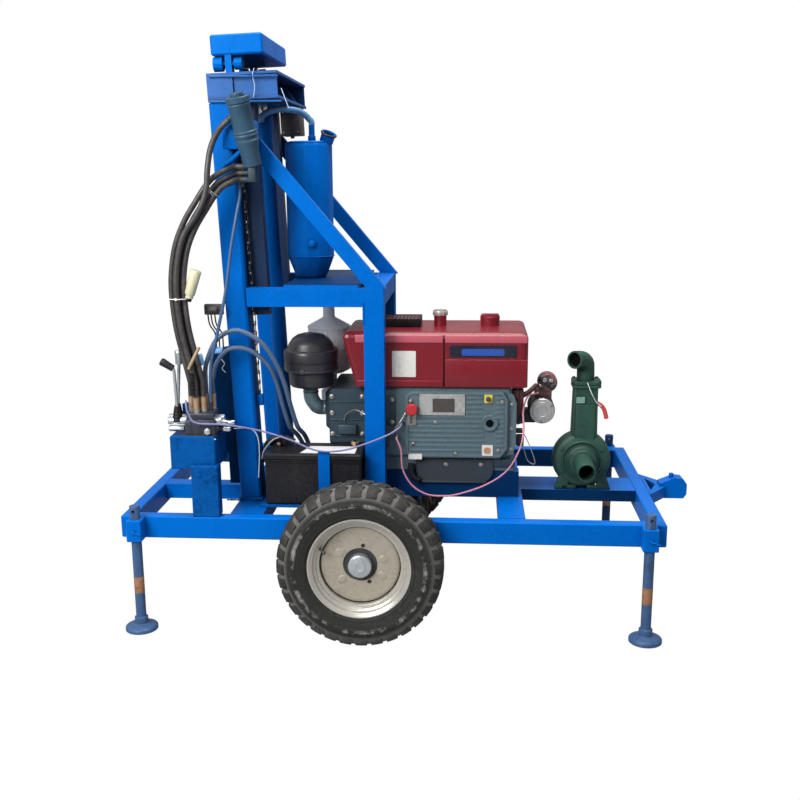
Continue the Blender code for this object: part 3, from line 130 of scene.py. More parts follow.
def make_finish():
    """Colour broken up by large soft patches and fine grime, with a fitting roughness."""
    tree, given, out = new_group("worn_finish", [("Color", "NodeSocketColor", None), ("Dirt", "NodeSocketColor",
        (0.05, 0.045, 0.04, 1)), ("Amount", "NodeSocketFloat", 0.2), ("Scale", "NodeSocketFloat", 6.0),
        ("Roughness", "NodeSocketFloat", 0.4)], [("Color", "NodeSocketColor"), ("Roughness", "NodeSocketFloat"),
        ("Height", "NodeSocketFloat")])
    coords = coordinate(tree)
    broad = add(tree, "ShaderNodeTexNoise", {"Vector": coords, "Scale": given.outputs["Scale"], "Detail": 5.0,
        "Roughness": 0.6}).outputs[0]
    fine = add(tree, "ShaderNodeTexNoise", {"Vector": coords, "Scale": 70.0, "Detail": 4.0}).outputs[0]
    mask = maths(tree, ramp(tree, maths(tree, broad, fine), 0.22, 0.42), given.outputs["Amount"])
    rough = maths(tree, ramp(tree, broad, 0.3, 0.7, -0.05, 0.08), given.outputs["Roughness"], "ADD")
    for key, source in (("Color", mix_color(tree, mask, given.outputs["Color"], given.outputs["Dirt"])),
            ("Roughness", rough), ("Height", fine)):
        tree.links.new(source, out.inputs[key])
    return tree


FINISH = make_finish()


def paint(name, color, rough, metal=0.0, dirt=(0.05, 0.045, 0.04), amount=0.15, scale=6.0, bump=0.05, coat=0.0,
        edge=0.0, spec=0.5, shade=None, shade_at=(0.18, 0.72), inner=None, tint=(1, 1, 1)):
    """A material: base colour through the worn finish, a slight grain and, if asked, rounded edges.

    With a shade colour, corners and hollows fall towards it by ambient occlusion: a darker colour there is
    painted shade, while the tyre's lighter one is dust in its hollows. With an inner colour, faces that look to
    the near side from within the frame take it, as painted shade."""
    mat = bpy.data.materials.new("look_" + name)
    mat.use_nodes = True
    tree = mat.node_tree
    bsdf = tree.nodes["Principled BSDF"]
    group = add(tree, "ShaderNodeGroup", {"Color": (*color, 1), "Dirt": (*dirt, 1), "Amount": amount,
        "Scale": scale, "Roughness": rough}, node_tree=FINISH)
    color_out = group.outputs["Color"]
    if shade:
        # Corners and hollows fall towards the shade colour by ambient occlusion: painted shade (on the tyre a
        # lighter colour, dust).
        open_air = add(tree, "ShaderNodeAmbientOcclusion", {"Distance": 0.3}, samples=6).outputs["AO"]
        color_out = mix_color(tree, ramp(tree, open_air, *shade_at), (*shade, 1), color_out)
    if inner:
        # Painted shade: faces inside the frame that look to the near side take the inner colour.
        within = ramp(tree, coordinate(tree, axis=1), -0.5, -0.46)
        facing = ramp(tree, coordinate(tree, "Normal", 1), -0.6, -0.9)
        color_out = mix_color(tree, maths(tree, within, facing), color_out, (*inner, 1))
    for key, value in {"Specular IOR Level": spec, "Specular Tint": (*tint, 1), "Metallic": metal,
            "Coat Weight": coat, "Coat Roughness": 0.12}.items():
        bsdf.inputs[key].default_value = value
    tree.links.new(color_out, bsdf.inputs["Base Color"])
    tree.links.new(group.outputs["Roughness"], bsdf.inputs["Roughness"])
    grain = add(tree, "ShaderNodeBump", {"Height": group.outputs["Height"], "Strength": bump,
        "Distance": 0.002})
    if edge:
        corner = add(tree, "ShaderNodeBevel", {"Radius": edge}, samples=4)
        tree.links.new(corner.outputs[0], grain.inputs["Normal"])
    tree.links.new(grain.outputs[0], bsdf.inputs["Normal"])
    return mat


SHEEN = (0.1, 0.55, 1.0)
BLUE = paint("frame_blue", (0.0, 0.108, 0.46), 0.42, dirt=(0.0, 0.05, 0.22), amount=0.28, edge=0.0025,
    spec=0.22, shade=(0.001, 0.024, 0.095), tint=SHEEN)
TEAL = paint("engine_grey", (0.085, 0.13, 0.15), 0.42, dirt=(0.03, 0.04, 0.045), amount=0.3, bump=0.25,
    spec=0.35)
PAN_GREY = paint("pan_grey", (0.03, 0.04, 0.05), 0.5, amount=0.3, spec=0.3)
RED = paint("hood_red", (0.17, 0.008, 0.016), 0.3, dirt=(0.08, 0.004, 0.01), amount=0.3, coat=0.12, spec=0.35)
IRON = paint("dark_iron", (0.035, 0.038, 0.042), 0.55, dirt=(0.1, 0.05, 0.03), amount=0.35, bump=0.3)
GREEN = paint("pump_green", (0.02, 0.071, 0.051), 0.48, dirt=(0.008, 0.026, 0.021), amount=0.6, bump=0.5,
    scale=9.0, spec=0.35, shade=(0.006, 0.018, 0.014), shade_at=(0.25, 0.95))
MOTOR = paint("motor_grey", (0.027, 0.074, 0.123), 0.42, dirt=(0.01, 0.03, 0.055), amount=0.6, spec=0.35)
SILVER = paint("silver_paint", (0.5, 0.5, 0.49), 0.38, 0.6, dirt=(0.16, 0.13, 0.11), amount=0.35)
CHROME = paint("chrome", (0.72, 0.73, 0.74), 0.12, 1.0, amount=0.05)
STEEL = paint("bare_steel", (0.42, 0.4, 0.37), 0.36, 1.0, dirt=(0.1, 0.05, 0.02), amount=0.5)
ZINC = paint("zinc", (0.55, 0.6, 0.63), 0.32, 0.8, amount=0.15)
RIM = paint("wheel_silver", (0.52, 0.49, 0.44), 0.3, 0.55, dirt=(0.22, 0.19, 0.15), amount=0.3)
DISC = paint("disc_silver", (0.37, 0.335, 0.27), 0.42, 0.25, dirt=(0.2, 0.17, 0.13), amount=0.5, scale=14.0,
    bump=0.15)
RUBBER = paint("tyre_rubber", (0.024, 0.023, 0.022), 0.66, dirt=(0.075, 0.07, 0.064), amount=0.45, scale=11.0,
    bump=0.4, spec=0.25, shade=(0.085, 0.083, 0.08), shade_at=(0.3, 0.62))
HOSE = paint("hose_black", (0.034, 0.03, 0.03), 0.46, dirt=(0.1, 0.085, 0.078), amount=0.5, scale=20.0)
HOSE_BLUE = paint("hose_blue", (0.032, 0.082, 0.19), 0.42, dirt=(0.07, 0.13, 0.22), amount=0.4)
BLACK = paint("battery_black", (0.009, 0.009, 0.012), 0.42, amount=0.25, spec=0.22)
OXIDE = paint("oxide_red", (0.075, 0.014, 0.014), 0.55, dirt=(0.02, 0.01, 0.01), amount=0.6)
LILAC = paint("cable_lilac", (0.18, 0.18, 0.36), 0.45, amount=0.1)
PINK = paint("cable_pink", (0.44, 0.17, 0.24), 0.45, amount=0.1)
BRASS = paint("brass", (0.46, 0.31, 0.19), 0.38, 0.45, dirt=(0.16, 0.08, 0.04), amount=0.4, scale=20.0)
CREAM = paint("cream_plastic", (0.6, 0.57, 0.38), 0.4, amount=0.2)
LABEL = paint("blank_label", (0.62, 0.6, 0.56), 0.45, dirt=(0.3, 0.28, 0.25), amount=0.3)
WHITE = paint("white_plastic", (0.75, 0.75, 0.73), 0.45, amount=0.1)

YELLOW = paint("yellow_tag", (0.62, 0.5, 0.05), 0.5, amount=0.1)
RED_PLASTIC = paint("red_plastic", (0.42, 0.015, 0.02), 0.4, amount=0.1)
# Near black for the hood's seam, and as painted shade inside holes and mouths and in the gap round the wheel
# disc.
SEAM_AND_SHADE = paint("dark_seam", (0.004, 0.004, 0.005), 0.9, amount=0.0, spec=0.03)
CAST = paint("cast_teal", (0.12, 0.19, 0.22), 0.26, dirt=(0.03, 0.045, 0.05), amount=0.4, bump=0.2)
BADGE = paint("blank_badge", (0.006, 0.008, 0.02), 0.3, amount=0.2)
BADGE_BLUE = paint("badge_blue", (0.012, 0.07, 0.36), 0.35, amount=0.3)
CAP_GREY = paint("cap_grey", (0.42, 0.41, 0.36), 0.35, 0.4, amount=0.3)
OXIDE_LIGHT = paint("faded_red_iron", (0.27, 0.13, 0.125), 0.5, dirt=(0.03, 0.02, 0.02), amount=0.7, scale=25.0)
MUFFLER = paint("muffler_silver", (0.78, 0.81, 0.85), 0.36, dirt=(0.52, 0.51, 0.51), amount=0.3)
# Painted highlight: a pale red for the hood's top bevel, where it catches the sky.
HOOD_HIGHLIGHT = paint("faded_red", (0.44, 0.085, 0.115), 0.32, amount=0.1)
TAN = paint("tan_patch", (0.42, 0.21, 0.11), 0.5, amount=0.3)
VALVE = paint("valve_black", (0.016, 0.021, 0.032), 0.36, dirt=(0.05, 0.05, 0.06), amount=0.4)
STAND = paint("stand_blue", (0.002, 0.07, 0.28), 0.42, dirt=(0.0, 0.02, 0.08), amount=0.6, scale=9.0, spec=0.2,
    shade=(0.001, 0.02, 0.08), tint=SHEEN)
# The frame blue with painted shade: navy on faces inside the frame that look to the near side, and darker
# hollows.
CHASSIS_BLUE = paint("chassis_blue", (0.0, 0.116, 0.49), 0.42, dirt=(0.0, 0.05, 0.22), amount=0.28, edge=0.0025,
    spec=0.22, shade=(0.001, 0.024, 0.095), inner=(0.002, 0.022, 0.08), shade_at=(0.1, 0.55), tint=SHEEN)
# Painted shade: a dark navy for blue pieces that stand in shade.
SHADED_NAVY = paint("shaded_navy", (0.002, 0.024, 0.09), 0.5, dirt=(0.001, 0.008, 0.03), amount=0.5, spec=0.15,
    tint=SHEEN)
LEG_BLUE = paint("leg_blue", (0.04, 0.09, 0.2), 0.42, dirt=(0.02, 0.035, 0.07), amount=0.6, scale=12.0,
    spec=0.3)
# Painted shade: a darker copy of the leg blue for the legs on the far side.
LEG_SHADED_FAR = paint("far_leg_blue", (0.008, 0.036, 0.11), 0.45, dirt=(0.004, 0.012, 0.03), amount=0.5, spec=0.2)
RUST = paint("worn_rust", (0.3, 0.15, 0.08), 0.6, dirt=(0.12, 0.05, 0.02), amount=0.7, scale=18.0, spec=0.2)
HEAD_GREY = paint("head_grey", (0.024, 0.044, 0.06), 0.45, dirt=(0.01, 0.014, 0.02), amount=0.4, spec=0.35)
CLEANER = paint("cleaner_black", (0.022, 0.022, 0.027), 0.3, amount=0.2, spec=0.6)
ARCH = paint("arch_hose", (0.062, 0.105, 0.19), 0.45, dirt=(0.03, 0.05, 0.08), amount=0.4, scale=14.0)
# Painted highlight: a pale blue for the sky-lit top of a blue piece.
SKY_LIT_BLUE = paint("pale_blue", (0.18, 0.42, 0.78), 0.4, amount=0.2, spec=0.4)
LINE = paint("thin_line", (0.42, 0.55, 0.72), 0.45, amount=0.1)
HEAD_BLUE = paint("head_blue", (0.012, 0.1, 0.33), 0.45, dirt=(0.01, 0.05, 0.16), amount=0.5, spec=0.2)
STRAP = paint("beige_strap", (0.36, 0.26, 0.16), 0.6, amount=0.5)
DUST = paint("wall_rubber", (0.021, 0.021, 0.02), 0.72, dirt=(0.05, 0.048, 0.046), amount=0.5, scale=11.0,
    bump=0.4, spec=0.2)
LABEL_WHITE = paint("white_label", (0.8, 0.8, 0.8), 0.35, amount=0.15)
LABEL_GREEN = paint("painted_tag", (0.16, 0.3, 0.24), 0.5, amount=0.2)
HANDLE = paint("red_handle", (0.55, 0.06, 0.05), 0.4, amount=0.1)
WIRE = paint("grey_wire", (0.28, 0.28, 0.3), 0.5, amount=0.1)
CHAIN = paint("chain_iron", (0.075, 0.068, 0.062), 0.42, 0.6, dirt=(0.02, 0.015, 0.012), amount=0.6, scale=30.0)
HOSE_PALE = paint("pale_hose", (0.085, 0.23, 0.43), 0.36, dirt=(0.05, 0.14, 0.28), amount=0.4, scale=14.0)
BOX_BROWN = paint("box_brown", (0.055, 0.045, 0.042), 0.5, dirt=(0.02, 0.016, 0.015), amount=0.4)

SLOTS = {mat.name[len("look_"):]: mat for mat in (BLUE, TEAL, RED, IRON, GREEN, MOTOR, SILVER, CHROME, STEEL,
    RIM, RUBBER, HOSE, HOSE_BLUE, BLACK, OXIDE, LILAC, PINK)}
node_slot = {part["node"]: part["material_slot"] for part in frame["record"]["subparts"]}
for node, obj in frame["nodes"].items():
    obj.data.materials.clear()
    obj.data.materials.append(SLOTS[node_slot[node]])


# Stage, light and camera

def linked(name, data):
    """A new object with this data, put into the scene."""
    obj = bpy.data.objects.new(name, data)
    bpy.context.scene.collection.objects.link(obj)
    return obj


def make_stage():
    bpy.ops.mesh.primitive_plane_add(size=60, location=(0, 0, -0.001))
    floor = bpy.context.active_object
    floor.name = "floor"
    mat = bpy.data.materials.new("white_floor")
    mat.use_nodes = True
    tree = mat.node_tree
    tree.nodes.clear()
    seen = add(tree, "ShaderNodeLightPath").outputs["Is Camera Ray"]
    glow = add(tree, "ShaderNodeEmission", {"Color": (1, 1, 1, 1), "Strength": 1.0})
    matte = add(tree, "ShaderNodeBsdfDiffuse", {"Color": (0.3, 0.3, 0.3, 1)})
    both = add(tree, "ShaderNodeMixShader", {0: seen, 1: matte.outputs[0], 2: glow.outputs[0]})
    add(tree, "ShaderNodeOutputMaterial", {0: both.outputs[0]})
    floor.data.materials.append(mat)
    world = bpy.data.worlds.new("white")
    bpy.context.scene.world = world
    world.use_nodes = True
    tree = world.node_tree
    tree.nodes.clear()
    seen = add(tree, "ShaderNodeLightPath").outputs["Is Camera Ray"]
    back = add(tree, "ShaderNodeBackground", {"Color": (1, 1, 1, 1), "Strength": 1.0})
    height = coordinate(tree, "Generated", 2)
    sky = mix_color(tree, ramp(tree, height, -0.3, 0.7), (0.2, 0.22, 0.25, 1), (1.0, 1.0, 1.0, 1))
    light = add(tree, "ShaderNodeBackground", {"Color": sky, "Strength": 0.62})
    both = add(tree, "ShaderNodeMixShader", {0: seen, 1: light.outputs[0], 2: back.outputs[0]})
    add(tree, "ShaderNodeOutputWorld", {0: both.outputs[0]})


def area_light(name, place, aim, size, power):
    bpy.ops.object.light_add(type="AREA", location=place)
    lamp = bpy.context.active_object
    lamp.name = name
    lamp.data.size = size
    lamp.data.energy = power
    lamp.rotation_euler = (Vector(aim) - Vector(place)).to_track_quat("-Z", "Y").to_euler()


def make_camera():
    turn = (Matrix.Rotation(math.radians(4.032), 4, "Z") @ Matrix.Rotation(math.radians(-12.517), 4, "X")
        @ Matrix.Rotation(math.radians(0.303), 4, "Y") @ Matrix.Rotation(math.radians(90), 4, "X"))
    data = bpy.data.cameras.new("camera")
    data.sensor_width = 36.0
    data.lens = 45.38
    camera = linked("camera", data)
    camera.matrix_world = Matrix.Translation((0.2047, -4.0647, 1.6802)) @ turn
    bpy.context.scene.camera = camera


make_stage()
area_light("key", (-2.4, -3.6, 3.2), (0, 0, 0.9), 2.2, 250)
area_light("top", (0.2, -0.3, 4.8), (0, 0, 0.6), 2.6, 190)
make_camera()
scene = bpy.context.scene
scene.render.engine = "CYCLES"
scene.cycles.samples = 128
scene.cycles.use_denoising = True
scene.render.resolution_x = 800
scene.render.resolution_y = 800
scene.view_settings.view_transform = "Standard"
scene.view_settings.look = "None"


# Modelling helpers: primitives come back as plain meshes at the origin

def mesh_of(obj):
    """The object with its modifiers and transform applied, or a curve turned into its mesh."""
    bpy.context.view_layer.update()
    graph = bpy.context.evaluated_depsgraph_get()
    mesh = bpy.data.meshes.new_from_object(obj.evaluated_get(graph))
    mesh.transform(obj.matrix_world)
    fresh = linked("shape", mesh)
    bpy.data.objects.remove(obj, do_unlink=True)
    return fresh


def rounded(obj, width, segments=2, angle=30):
    mod = obj.modifiers.new("round", "BEVEL")
    mod.width = width
    mod.segments = segments
    mod.limit_method = "ANGLE"
    mod.angle_limit = math.radians(angle)
    return mesh_of(obj)


def box(x, y, z, bevel=0.001, segments=2):
    """A box between limits, with rounded edges."""
    bpy.ops.mesh.primitive_cube_add(size=1, location=((x[0] + x[1]) / 2, (y[0] + y[1]) / 2, (z[0] + z[1]) / 2))
    obj = bpy.context.active_object
    obj.scale = (x[1] - x[0], y[1] - y[0], z[1] - z[0])
    obj = mesh_of(obj)
    return rounded(obj, bevel, segments) if bevel else obj


def rod(a, b, radius, sides=24, radius_b=None, bevel=0.0):
    """A round bar, or a cone, from a to b."""
    a, b = Vector(a), Vector(b)
    bpy.ops.mesh.primitive_cone_add(vertices=sides, radius1=radius, depth=(b - a).length,
        radius2=radius if radius_b is None else radius_b, location=(a + b) / 2)
    obj = bpy.context.active_object
    obj.rotation_mode = "QUATERNION"
    obj.rotation_quaternion = (b - a).to_track_quat("Z", "Y")
    obj = mesh_of(obj)
    return rounded(obj, bevel, 2, 50) if bevel else obj


def ball(centre, radius, scale=(1, 1, 1)):
    bpy.ops.mesh.primitive_uv_sphere_add(segments=24, ring_count=14, radius=radius, location=centre)
    obj = bpy.context.active_object
    obj.scale = scale
    return mesh_of(obj)


def ring(centre, way, radius, thick, sides=40):
    """A round ring about an axis."""
    bpy.ops.mesh.primitive_torus_add(major_radius=radius, minor_radius=thick, major_segments=sides,
        minor_segments=10)
    obj = bpy.context.active_object
    obj.matrix_world = aimed(centre, way)
    return mesh_of(obj)


def aimed(centre, way):
    """A matrix with its Z along a direction."""
    return Matrix.Translation(centre) @ Vector(way).to_track_quat("Z", "Y").to_matrix().to_4x4()


def outward(obj):
    """The shape with all its faces turned outwards."""
    bm = bmesh.new()
    bm.from_mesh(obj.data)
    bmesh.ops.recalc_face_normals(bm, faces=bm.faces)
    bm.to_mesh(obj.data)
    bm.free()
    return obj


def lathe(profile, place=HERE, steps=64):
    """A profile of (radius, height) turned about its place's Z."""
    mesh = bpy.data.meshes.new("shape")
    mesh.from_pydata([(r, 0, h) for r, h in profile], [(i, i + 1) for i in range(len(profile) - 1)], [])
    obj = linked("shape", mesh)
    turn = obj.modifiers.new("turn", "SCREW")
    turn.steps = steps
    turn.render_steps = steps
    turn.use_merge_vertices = True
    turn.use_normal_calculate = True
    obj.matrix_world = place
    return outward(mesh_of(obj))


PLANES = {"XZ": Matrix(((1, 0, 0, 0), (0, 0, -1, 0), (0, 1, 0, 0), (0, 0, 0, 1))), "XY": Matrix.Identity(4),
    "YZ": Matrix(((0, 0, 1, 0), (1, 0, 0, 0), (0, 1, 0, 0), (0, 0, 0, 1)))}


def plate(plane, depth, *loops, bevel=0.0008):
    """A flat outline, with any holes, as thick as depth and with rounded rims."""
    curve = bpy.data.curves.new("shape", "CURVE")
    curve.dimensions = "2D"
    curve.fill_mode = "BOTH"
    curve.bevel_depth = bevel
    curve.bevel_resolution = 1
    curve.offset = -bevel
    curve.extrude = (depth[1] - depth[0]) / 2 - bevel
    for loop in loops:
        spline = curve.splines.new("POLY")
        spline.points.add(len(loop) - 1)
        for point, (a, b) in zip(spline.points, loop):
            point.co = (a, b, 0, 1)
        spline.use_cyclic_u = True
    obj = linked("shape", curve)
    middle = (depth[0] + depth[1]) / 2
    shift = {"XZ": (0, middle, 0), "XY": (0, 0, middle), "YZ": (middle, 0, 0)}[plane]
    obj.matrix_world = Matrix.Translation(shift) @ PLANES[plane]
    return mesh_of(obj)


def round_loop(x, y, r, steps=5):
    """A rectangle with round corners."""
    out = []
    for cx, cy, first in ((x[1] - r, y[1] - r, 0), (x[0] + r, y[1] - r, 1), (x[0] + r, y[0] + r, 2), (x[1] - r,
            y[0] + r, 3)):
        for i in range(steps + 1):
            turn = (first + i / steps) * TAU / 4
            out.append((cx + r * math.cos(turn), cy + r * math.sin(turn)))
    return out


def smooth_route(points, step):
    """Points about one step apart on a smooth curve through the route's own points."""
    pts = [Vector(p) for p in points]
    pts = [2 * pts[0] - pts[1]] + pts + [2 * pts[-1] - pts[-2]]
    fine = []
    for p0, p1, p2, p3 in zip(pts, pts[1:], pts[2:], pts[3:]):
        for i in range(24):
            t = i / 24
            fine.append(0.5 * (2 * p1 + (p2 - p0) * t + (2 * p0 - 5 * p1 + 4 * p2 - p3) * t * t + (3 * p1 - p0
                - 3 * p2 + p3) * t ** 3))
    fine.append(pts[-2])
    lengths = [0.0]
    for a, b in zip(fine, fine[1:]):
        lengths.append(lengths[-1] + (b - a).length)
    count = max(4, round(lengths[-1] / step))
    out, j = [], 0
    for i in range(count + 1):
        want = lengths[-1] * i / count
        while j < len(fine) - 2 and lengths[j + 1] < want:
            j += 1
        span = max(lengths[j + 1] - lengths[j], 1e-9)
        out.append(fine[j].lerp(fine[j + 1], (want - lengths[j]) / span))
    return out


def tube_curve(name, route, diameter, sides=3):
    curve = bpy.data.curves.new(name, "CURVE")
    curve.dimensions = "3D"
    curve.bevel_depth = diameter / 2
    curve.bevel_resolution = sides
    curve.use_fill_caps = True
    spline = curve.splines.new("POLY")
    spline.points.add(len(route) - 1)
    for point, co in zip(spline.points, route):
        point.co = (*co, 1)
    return linked(name, curve)


def pipe(points, diameter, step=None, sides=4):
    """A bent tube or wire as a mesh."""
    return mesh_of(tube_curve("shape", smooth_route(points, step or diameter * 1.2), diameter, sides))


def bead(points, width=0.006, seed=0):
    """A weld: a thin bead whose thickness comes and goes."""
    route = smooth_route(points, 0.0045)
    obj = tube_curve("shape", route, width, 1)
    for i, point in enumerate(obj.data.splines[0].points):
        point.radius = 1.0 + 0.18 * math.sin(i * 2.1 + seed) + 0.1 * math.sin(i * 5.3 + seed)
    return mesh_of(obj)


def merged(*objs):
    """Several shapes as one, left as they are."""
    bm = bmesh.new()
    for obj in objs:
        bm.from_mesh(obj.data)
    bm.to_mesh(objs[0].data)
    bm.free()
    for obj in objs[1:]:
        bpy.data.objects.remove(obj, do_unlink=True)
    return objs[0]


def spread(obj, places):
    """Copies of a shape at each of the places, as one."""
    bm = bmesh.new()
    for place in places:
        copy = obj.data.copy()
        copy.transform(place)
        bm.from_mesh(copy)
        bpy.data.meshes.remove(copy)
    bm.to_mesh(obj.data)
    bm.free()
    return obj


def minus(obj, *cutters):
    for cutter in cutters:
        mod = obj.modifiers.new("cut", "BOOLEAN")
        mod.operation = "DIFFERENCE"
        mod.object = cutter
        obj = mesh_of(obj)
        bpy.data.objects.remove(cutter, do_unlink=True)
    return obj


def bolts(seats, way, size=0.008, washer=True):
    """Hex heads on washers, one at each seat, all pointing one way."""
    head = rod((0, 0, 0.001), (0, 0, size * 0.75), size, 6, bevel=size * 0.1)
    if washer:
        head = merged(head, rod((0, 0, -0.0005), (0, 0, 0.0015), size * 1.35, 16, bevel=0.0004))
    return spread(head, [aimed(seat, way) for seat in seats])


def done(name, obj, mat, at=DECK, body="chassis", over=(), smooth=35):
    """Set the finished piece in the row frame, give it its material and hand it to its body."""
    obj.name = name
    obj.data.name = name
    obj.data.transform(at)
    obj.data.materials.clear()
    obj.data.materials.append(mat)
    if obj.type == "MESH":
        obj.data.shade_smooth()
        obj.data.set_sharp_from_angle(angle=math.radians(smooth))
    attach(obj, body)
    if over:
        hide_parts(*over)
    return obj


# Running gear. A wheel's own axes: Z out along the axle, Y up (near side), the tyre's middle plane at 0

WHEELS = {"near": Matrix(((1, 0, 0, WHEEL_X), (0, 0, -1, -WHEEL_Y), (0, 1, 0, AXLE_Z), (0, 0, 0, 1))),
    "far": Matrix(((1, 0, 0, WHEEL_X), (0, 0, 1, WHEEL_Y), (0, -1, 0, AXLE_Z), (0, 0, 0, 1))),}
LUGS = 32


def crown(h):
    """The tread's radius at a distance from the middle plane."""
    a = abs(h)
    return 0.3048 - 0.0018 * (a / 0.045) ** 2 - (0 if a < 0.046 else 2.2 * (a - 0.046) ** 1.2)


def lug(length, h0, h1, skew, rows, depth=0.009):
    """One tread block: a patch of the crown, made thick and with rounded edges."""
    bpy.ops.mesh.primitive_grid_add(x_subdivisions=2, y_subdivisions=rows, size=1)
    obj = bpy.context.active_object
    for v in obj.data.vertices:
        across = (v.co.y + 0.5) * (h1 - h0)
        h = h0 + across
        s = v.co.x * length * (1 - 0.1 * (across / (h1 - h0))) + skew * across
        r = crown(h)
        turn = s / AXLE_Z
        v.co = (r * math.cos(turn), r * math.sin(turn), h)
    mod = obj.modifiers.new("thick", "SOLIDIFY")
    mod.thickness = depth
    mod.offset = -1
    return rounded(outward(mesh_of(obj)), 0.0016, 2, 35)


def turns(count, place=HERE, start=0.0):
    """Places evenly round the Z axis of a place."""
    return [place @ Matrix.Rotation(start + TAU * i / count, 4, "Z") for i in range(count)]


def tread():
    """Shoulder lugs on both sides, and two rows of slanting blocks between them."""
    flip = Matrix.Scale(-1, 4, UP)
    sets = []
    for side in (1, -1):
        offset = 0 if side > 0 else TAU / LUGS / 2
        for length, h0, h1, skew, rows, start in ((0.0455, 0.03, 0.07, 0.22, 7, 0.0), (0.033, 0.0025, 0.026,
                -0.55, 3, 0.045)):
            obj = spread(lug(length, h0, h1, skew, rows), turns(LUGS, start=offset + start))
            if side < 0:
                obj.data.transform(flip)
                obj.data.flip_normals()
            sets.append(obj)
    return merged(*sets)


def carcass():
    """The tyre under its lugs: bead, bulging side walls with fine rings, and the groove floor."""
    side = [(0.1762, 0.0), (0.1762, 0.05), (0.18, 0.056), (0.1885, 0.0585), (0.1925, 0.0625), (0.198, 0.065),
        (0.2, 0.0672), (0.202, 0.0655), (0.212, 0.069), (0.224, 0.0722), (0.2335, 0.0738), (0.235, 0.0752),
        (0.2372, 0.0752), (0.2386, 0.0738), (0.242, 0.074), (0.2432, 0.075), (0.2446, 0.0738), (0.252, 0.0722),
        (0.262, 0.0692), (0.27, 0.0658), (0.277, 0.0625), (0.285, 0.059), (0.293, 0.054), (0.2962, 0.045),
        (0.2975, 0.0)]
    return lathe(side + [(r, -h) for r, h in reversed(side[1:-1])] + [side[0]], steps=96)


def rim():
    """The rim: rolled lip, stepped bead seat and well, seen from the open side."""
    half = [(0.1882, 0.056), (0.189, 0.06), (0.188, 0.0626), (0.185, 0.0632), (0.1822, 0.0618), (0.18, 0.058),
        (0.1722, 0.0556), (0.1706, 0.053), (0.17, 0.044), (0.1672, 0.0408), (0.1622, 0.0396), (0.16, 0.0372),
        (0.1588, 0.031), (0.154, 0.028), (0.1492, 0.0262), (0.1486, 0.022)]
    inner = half + [(0.1486, -0.022)] + [(r, -h) for r, h in reversed(half)]
    outer = [(0.1755, -0.05), (0.1755, -0.036), (0.1535, -0.029), (0.1535, 0.029), (0.1755, 0.036), (0.1755,
        0.05), (0.1882, 0.056)]
    return lathe(inner + outer, steps=96)


def wheel_disc():
    """The pressed disc: a rolled shoulder, a flat face with bolt holes and the open middle."""
    face = [(0.146, 0.002), (0.1456, 0.0095), (0.1432, 0.014), (0.1385, 0.0165), (0.131, 0.017), (0.118,
        0.0148), (0.1, 0.0138), (0.08, 0.0136), (0.066, 0.0138), (0.0632, 0.013), (0.0625, 0.0105), (0.0625,
        0.0075), (0.134, 0.0075), (0.14, 0.002)]
    obj = lathe(face + [face[0]], steps=96)
    holes = []
    for angle in (81, 297):
        t = math.radians(angle)
        x, y = 0.0735 * math.cos(t), 0.0735 * math.sin(t)
        holes.append(rod((x, y, 0), (x, y, 0.03), 0.0082, 20))
    return minus(obj, *holes)


def build_wheel(label):
    at, body = WHEELS[label], label + "_wheel"
    done("tyre_tread_" + label, tread(), RUBBER, at, body, ["tyre_" + label], 40)
    done("tyre_wall_" + label, carcass(), DUST, at, body, ["tyre_" + label], 40)
    done("wheel_rim_" + label, rim(), RIM, at, body, ["wheel_" + label], 50)
    done("wheel_disc_" + label, wheel_disc(), DISC, at, body, smooth=50)
    done("wheel_hub_" + label, lathe([(0, -0.004), (0.1482, -0.004), (0.1482, 0.001), (0.085, 0.002), (0.085,
        0.0068), (0.06, 0.0072), (0.05, 0.003), (0.044, 0.003), (0.044, 0.008), (0, 0.008)]), IRON, at, body)
    inner = lathe([(SPIN_R, -0.052), (0.052, -0.052), (0.06, -0.046), (0.06, -0.004), (SPIN_R, -0.004)],
        steps=48)
    done("wheel_bearing_" + label, inner, RIM, at, body)
    cap = lathe([(0.0425, 0.004), (0.043, 0.034), (0.0415, 0.0375), (0.038, 0.0395), (0.025, 0.0412), (0.0235,
        0.044), (0.0205, 0.045), (0.013, 0.045), (0.0118, 0.0432), (0, 0.043)])
    done("hub_cap_" + label, cap, ZINC, at, body, smooth=28)
    bumps = spread(ball((0, 0, 0), 0.021, (0.9, 0.75, 0.16)), [Matrix.Rotation(math.radians(a), 4, "Z")
        @ Matrix.Translation((r, 0, 0.013)) for a, r in ((14, 0.088), (150, 0.086), (221, 0.09), (333, 0.09))])
    done("wheel_bumps_" + label, bumps, DISC, at, body, smooth=60)
    # Painted shade: a near-black ring in the gap between the disc and the rim.
    gap = lathe([(0.1462, -0.002), (0.1462, 0.011), (0.1486, 0.011), (0.1486, -0.002)])
    done("disc_gap_" + label, gap, SEAM_AND_SHADE, at, body)
    stem = merged(pipe([(-0.144, 0.064, 0.029), (-0.14, 0.062, 0.039), (-0.131, 0.058, 0.046)], 0.0086),
        rod((-0.133, 0.0588, 0.0452), (-0.1225, 0.0542, 0.0495), 0.0062, 16, bevel=0.0006))
    done("valve_stem_" + label, stem, IRON, at, body)


for label in WHEELS:
    build_wheel(label)


# Jack legs: the tube with its foot, the unpainted band where it slides, and the lock pin

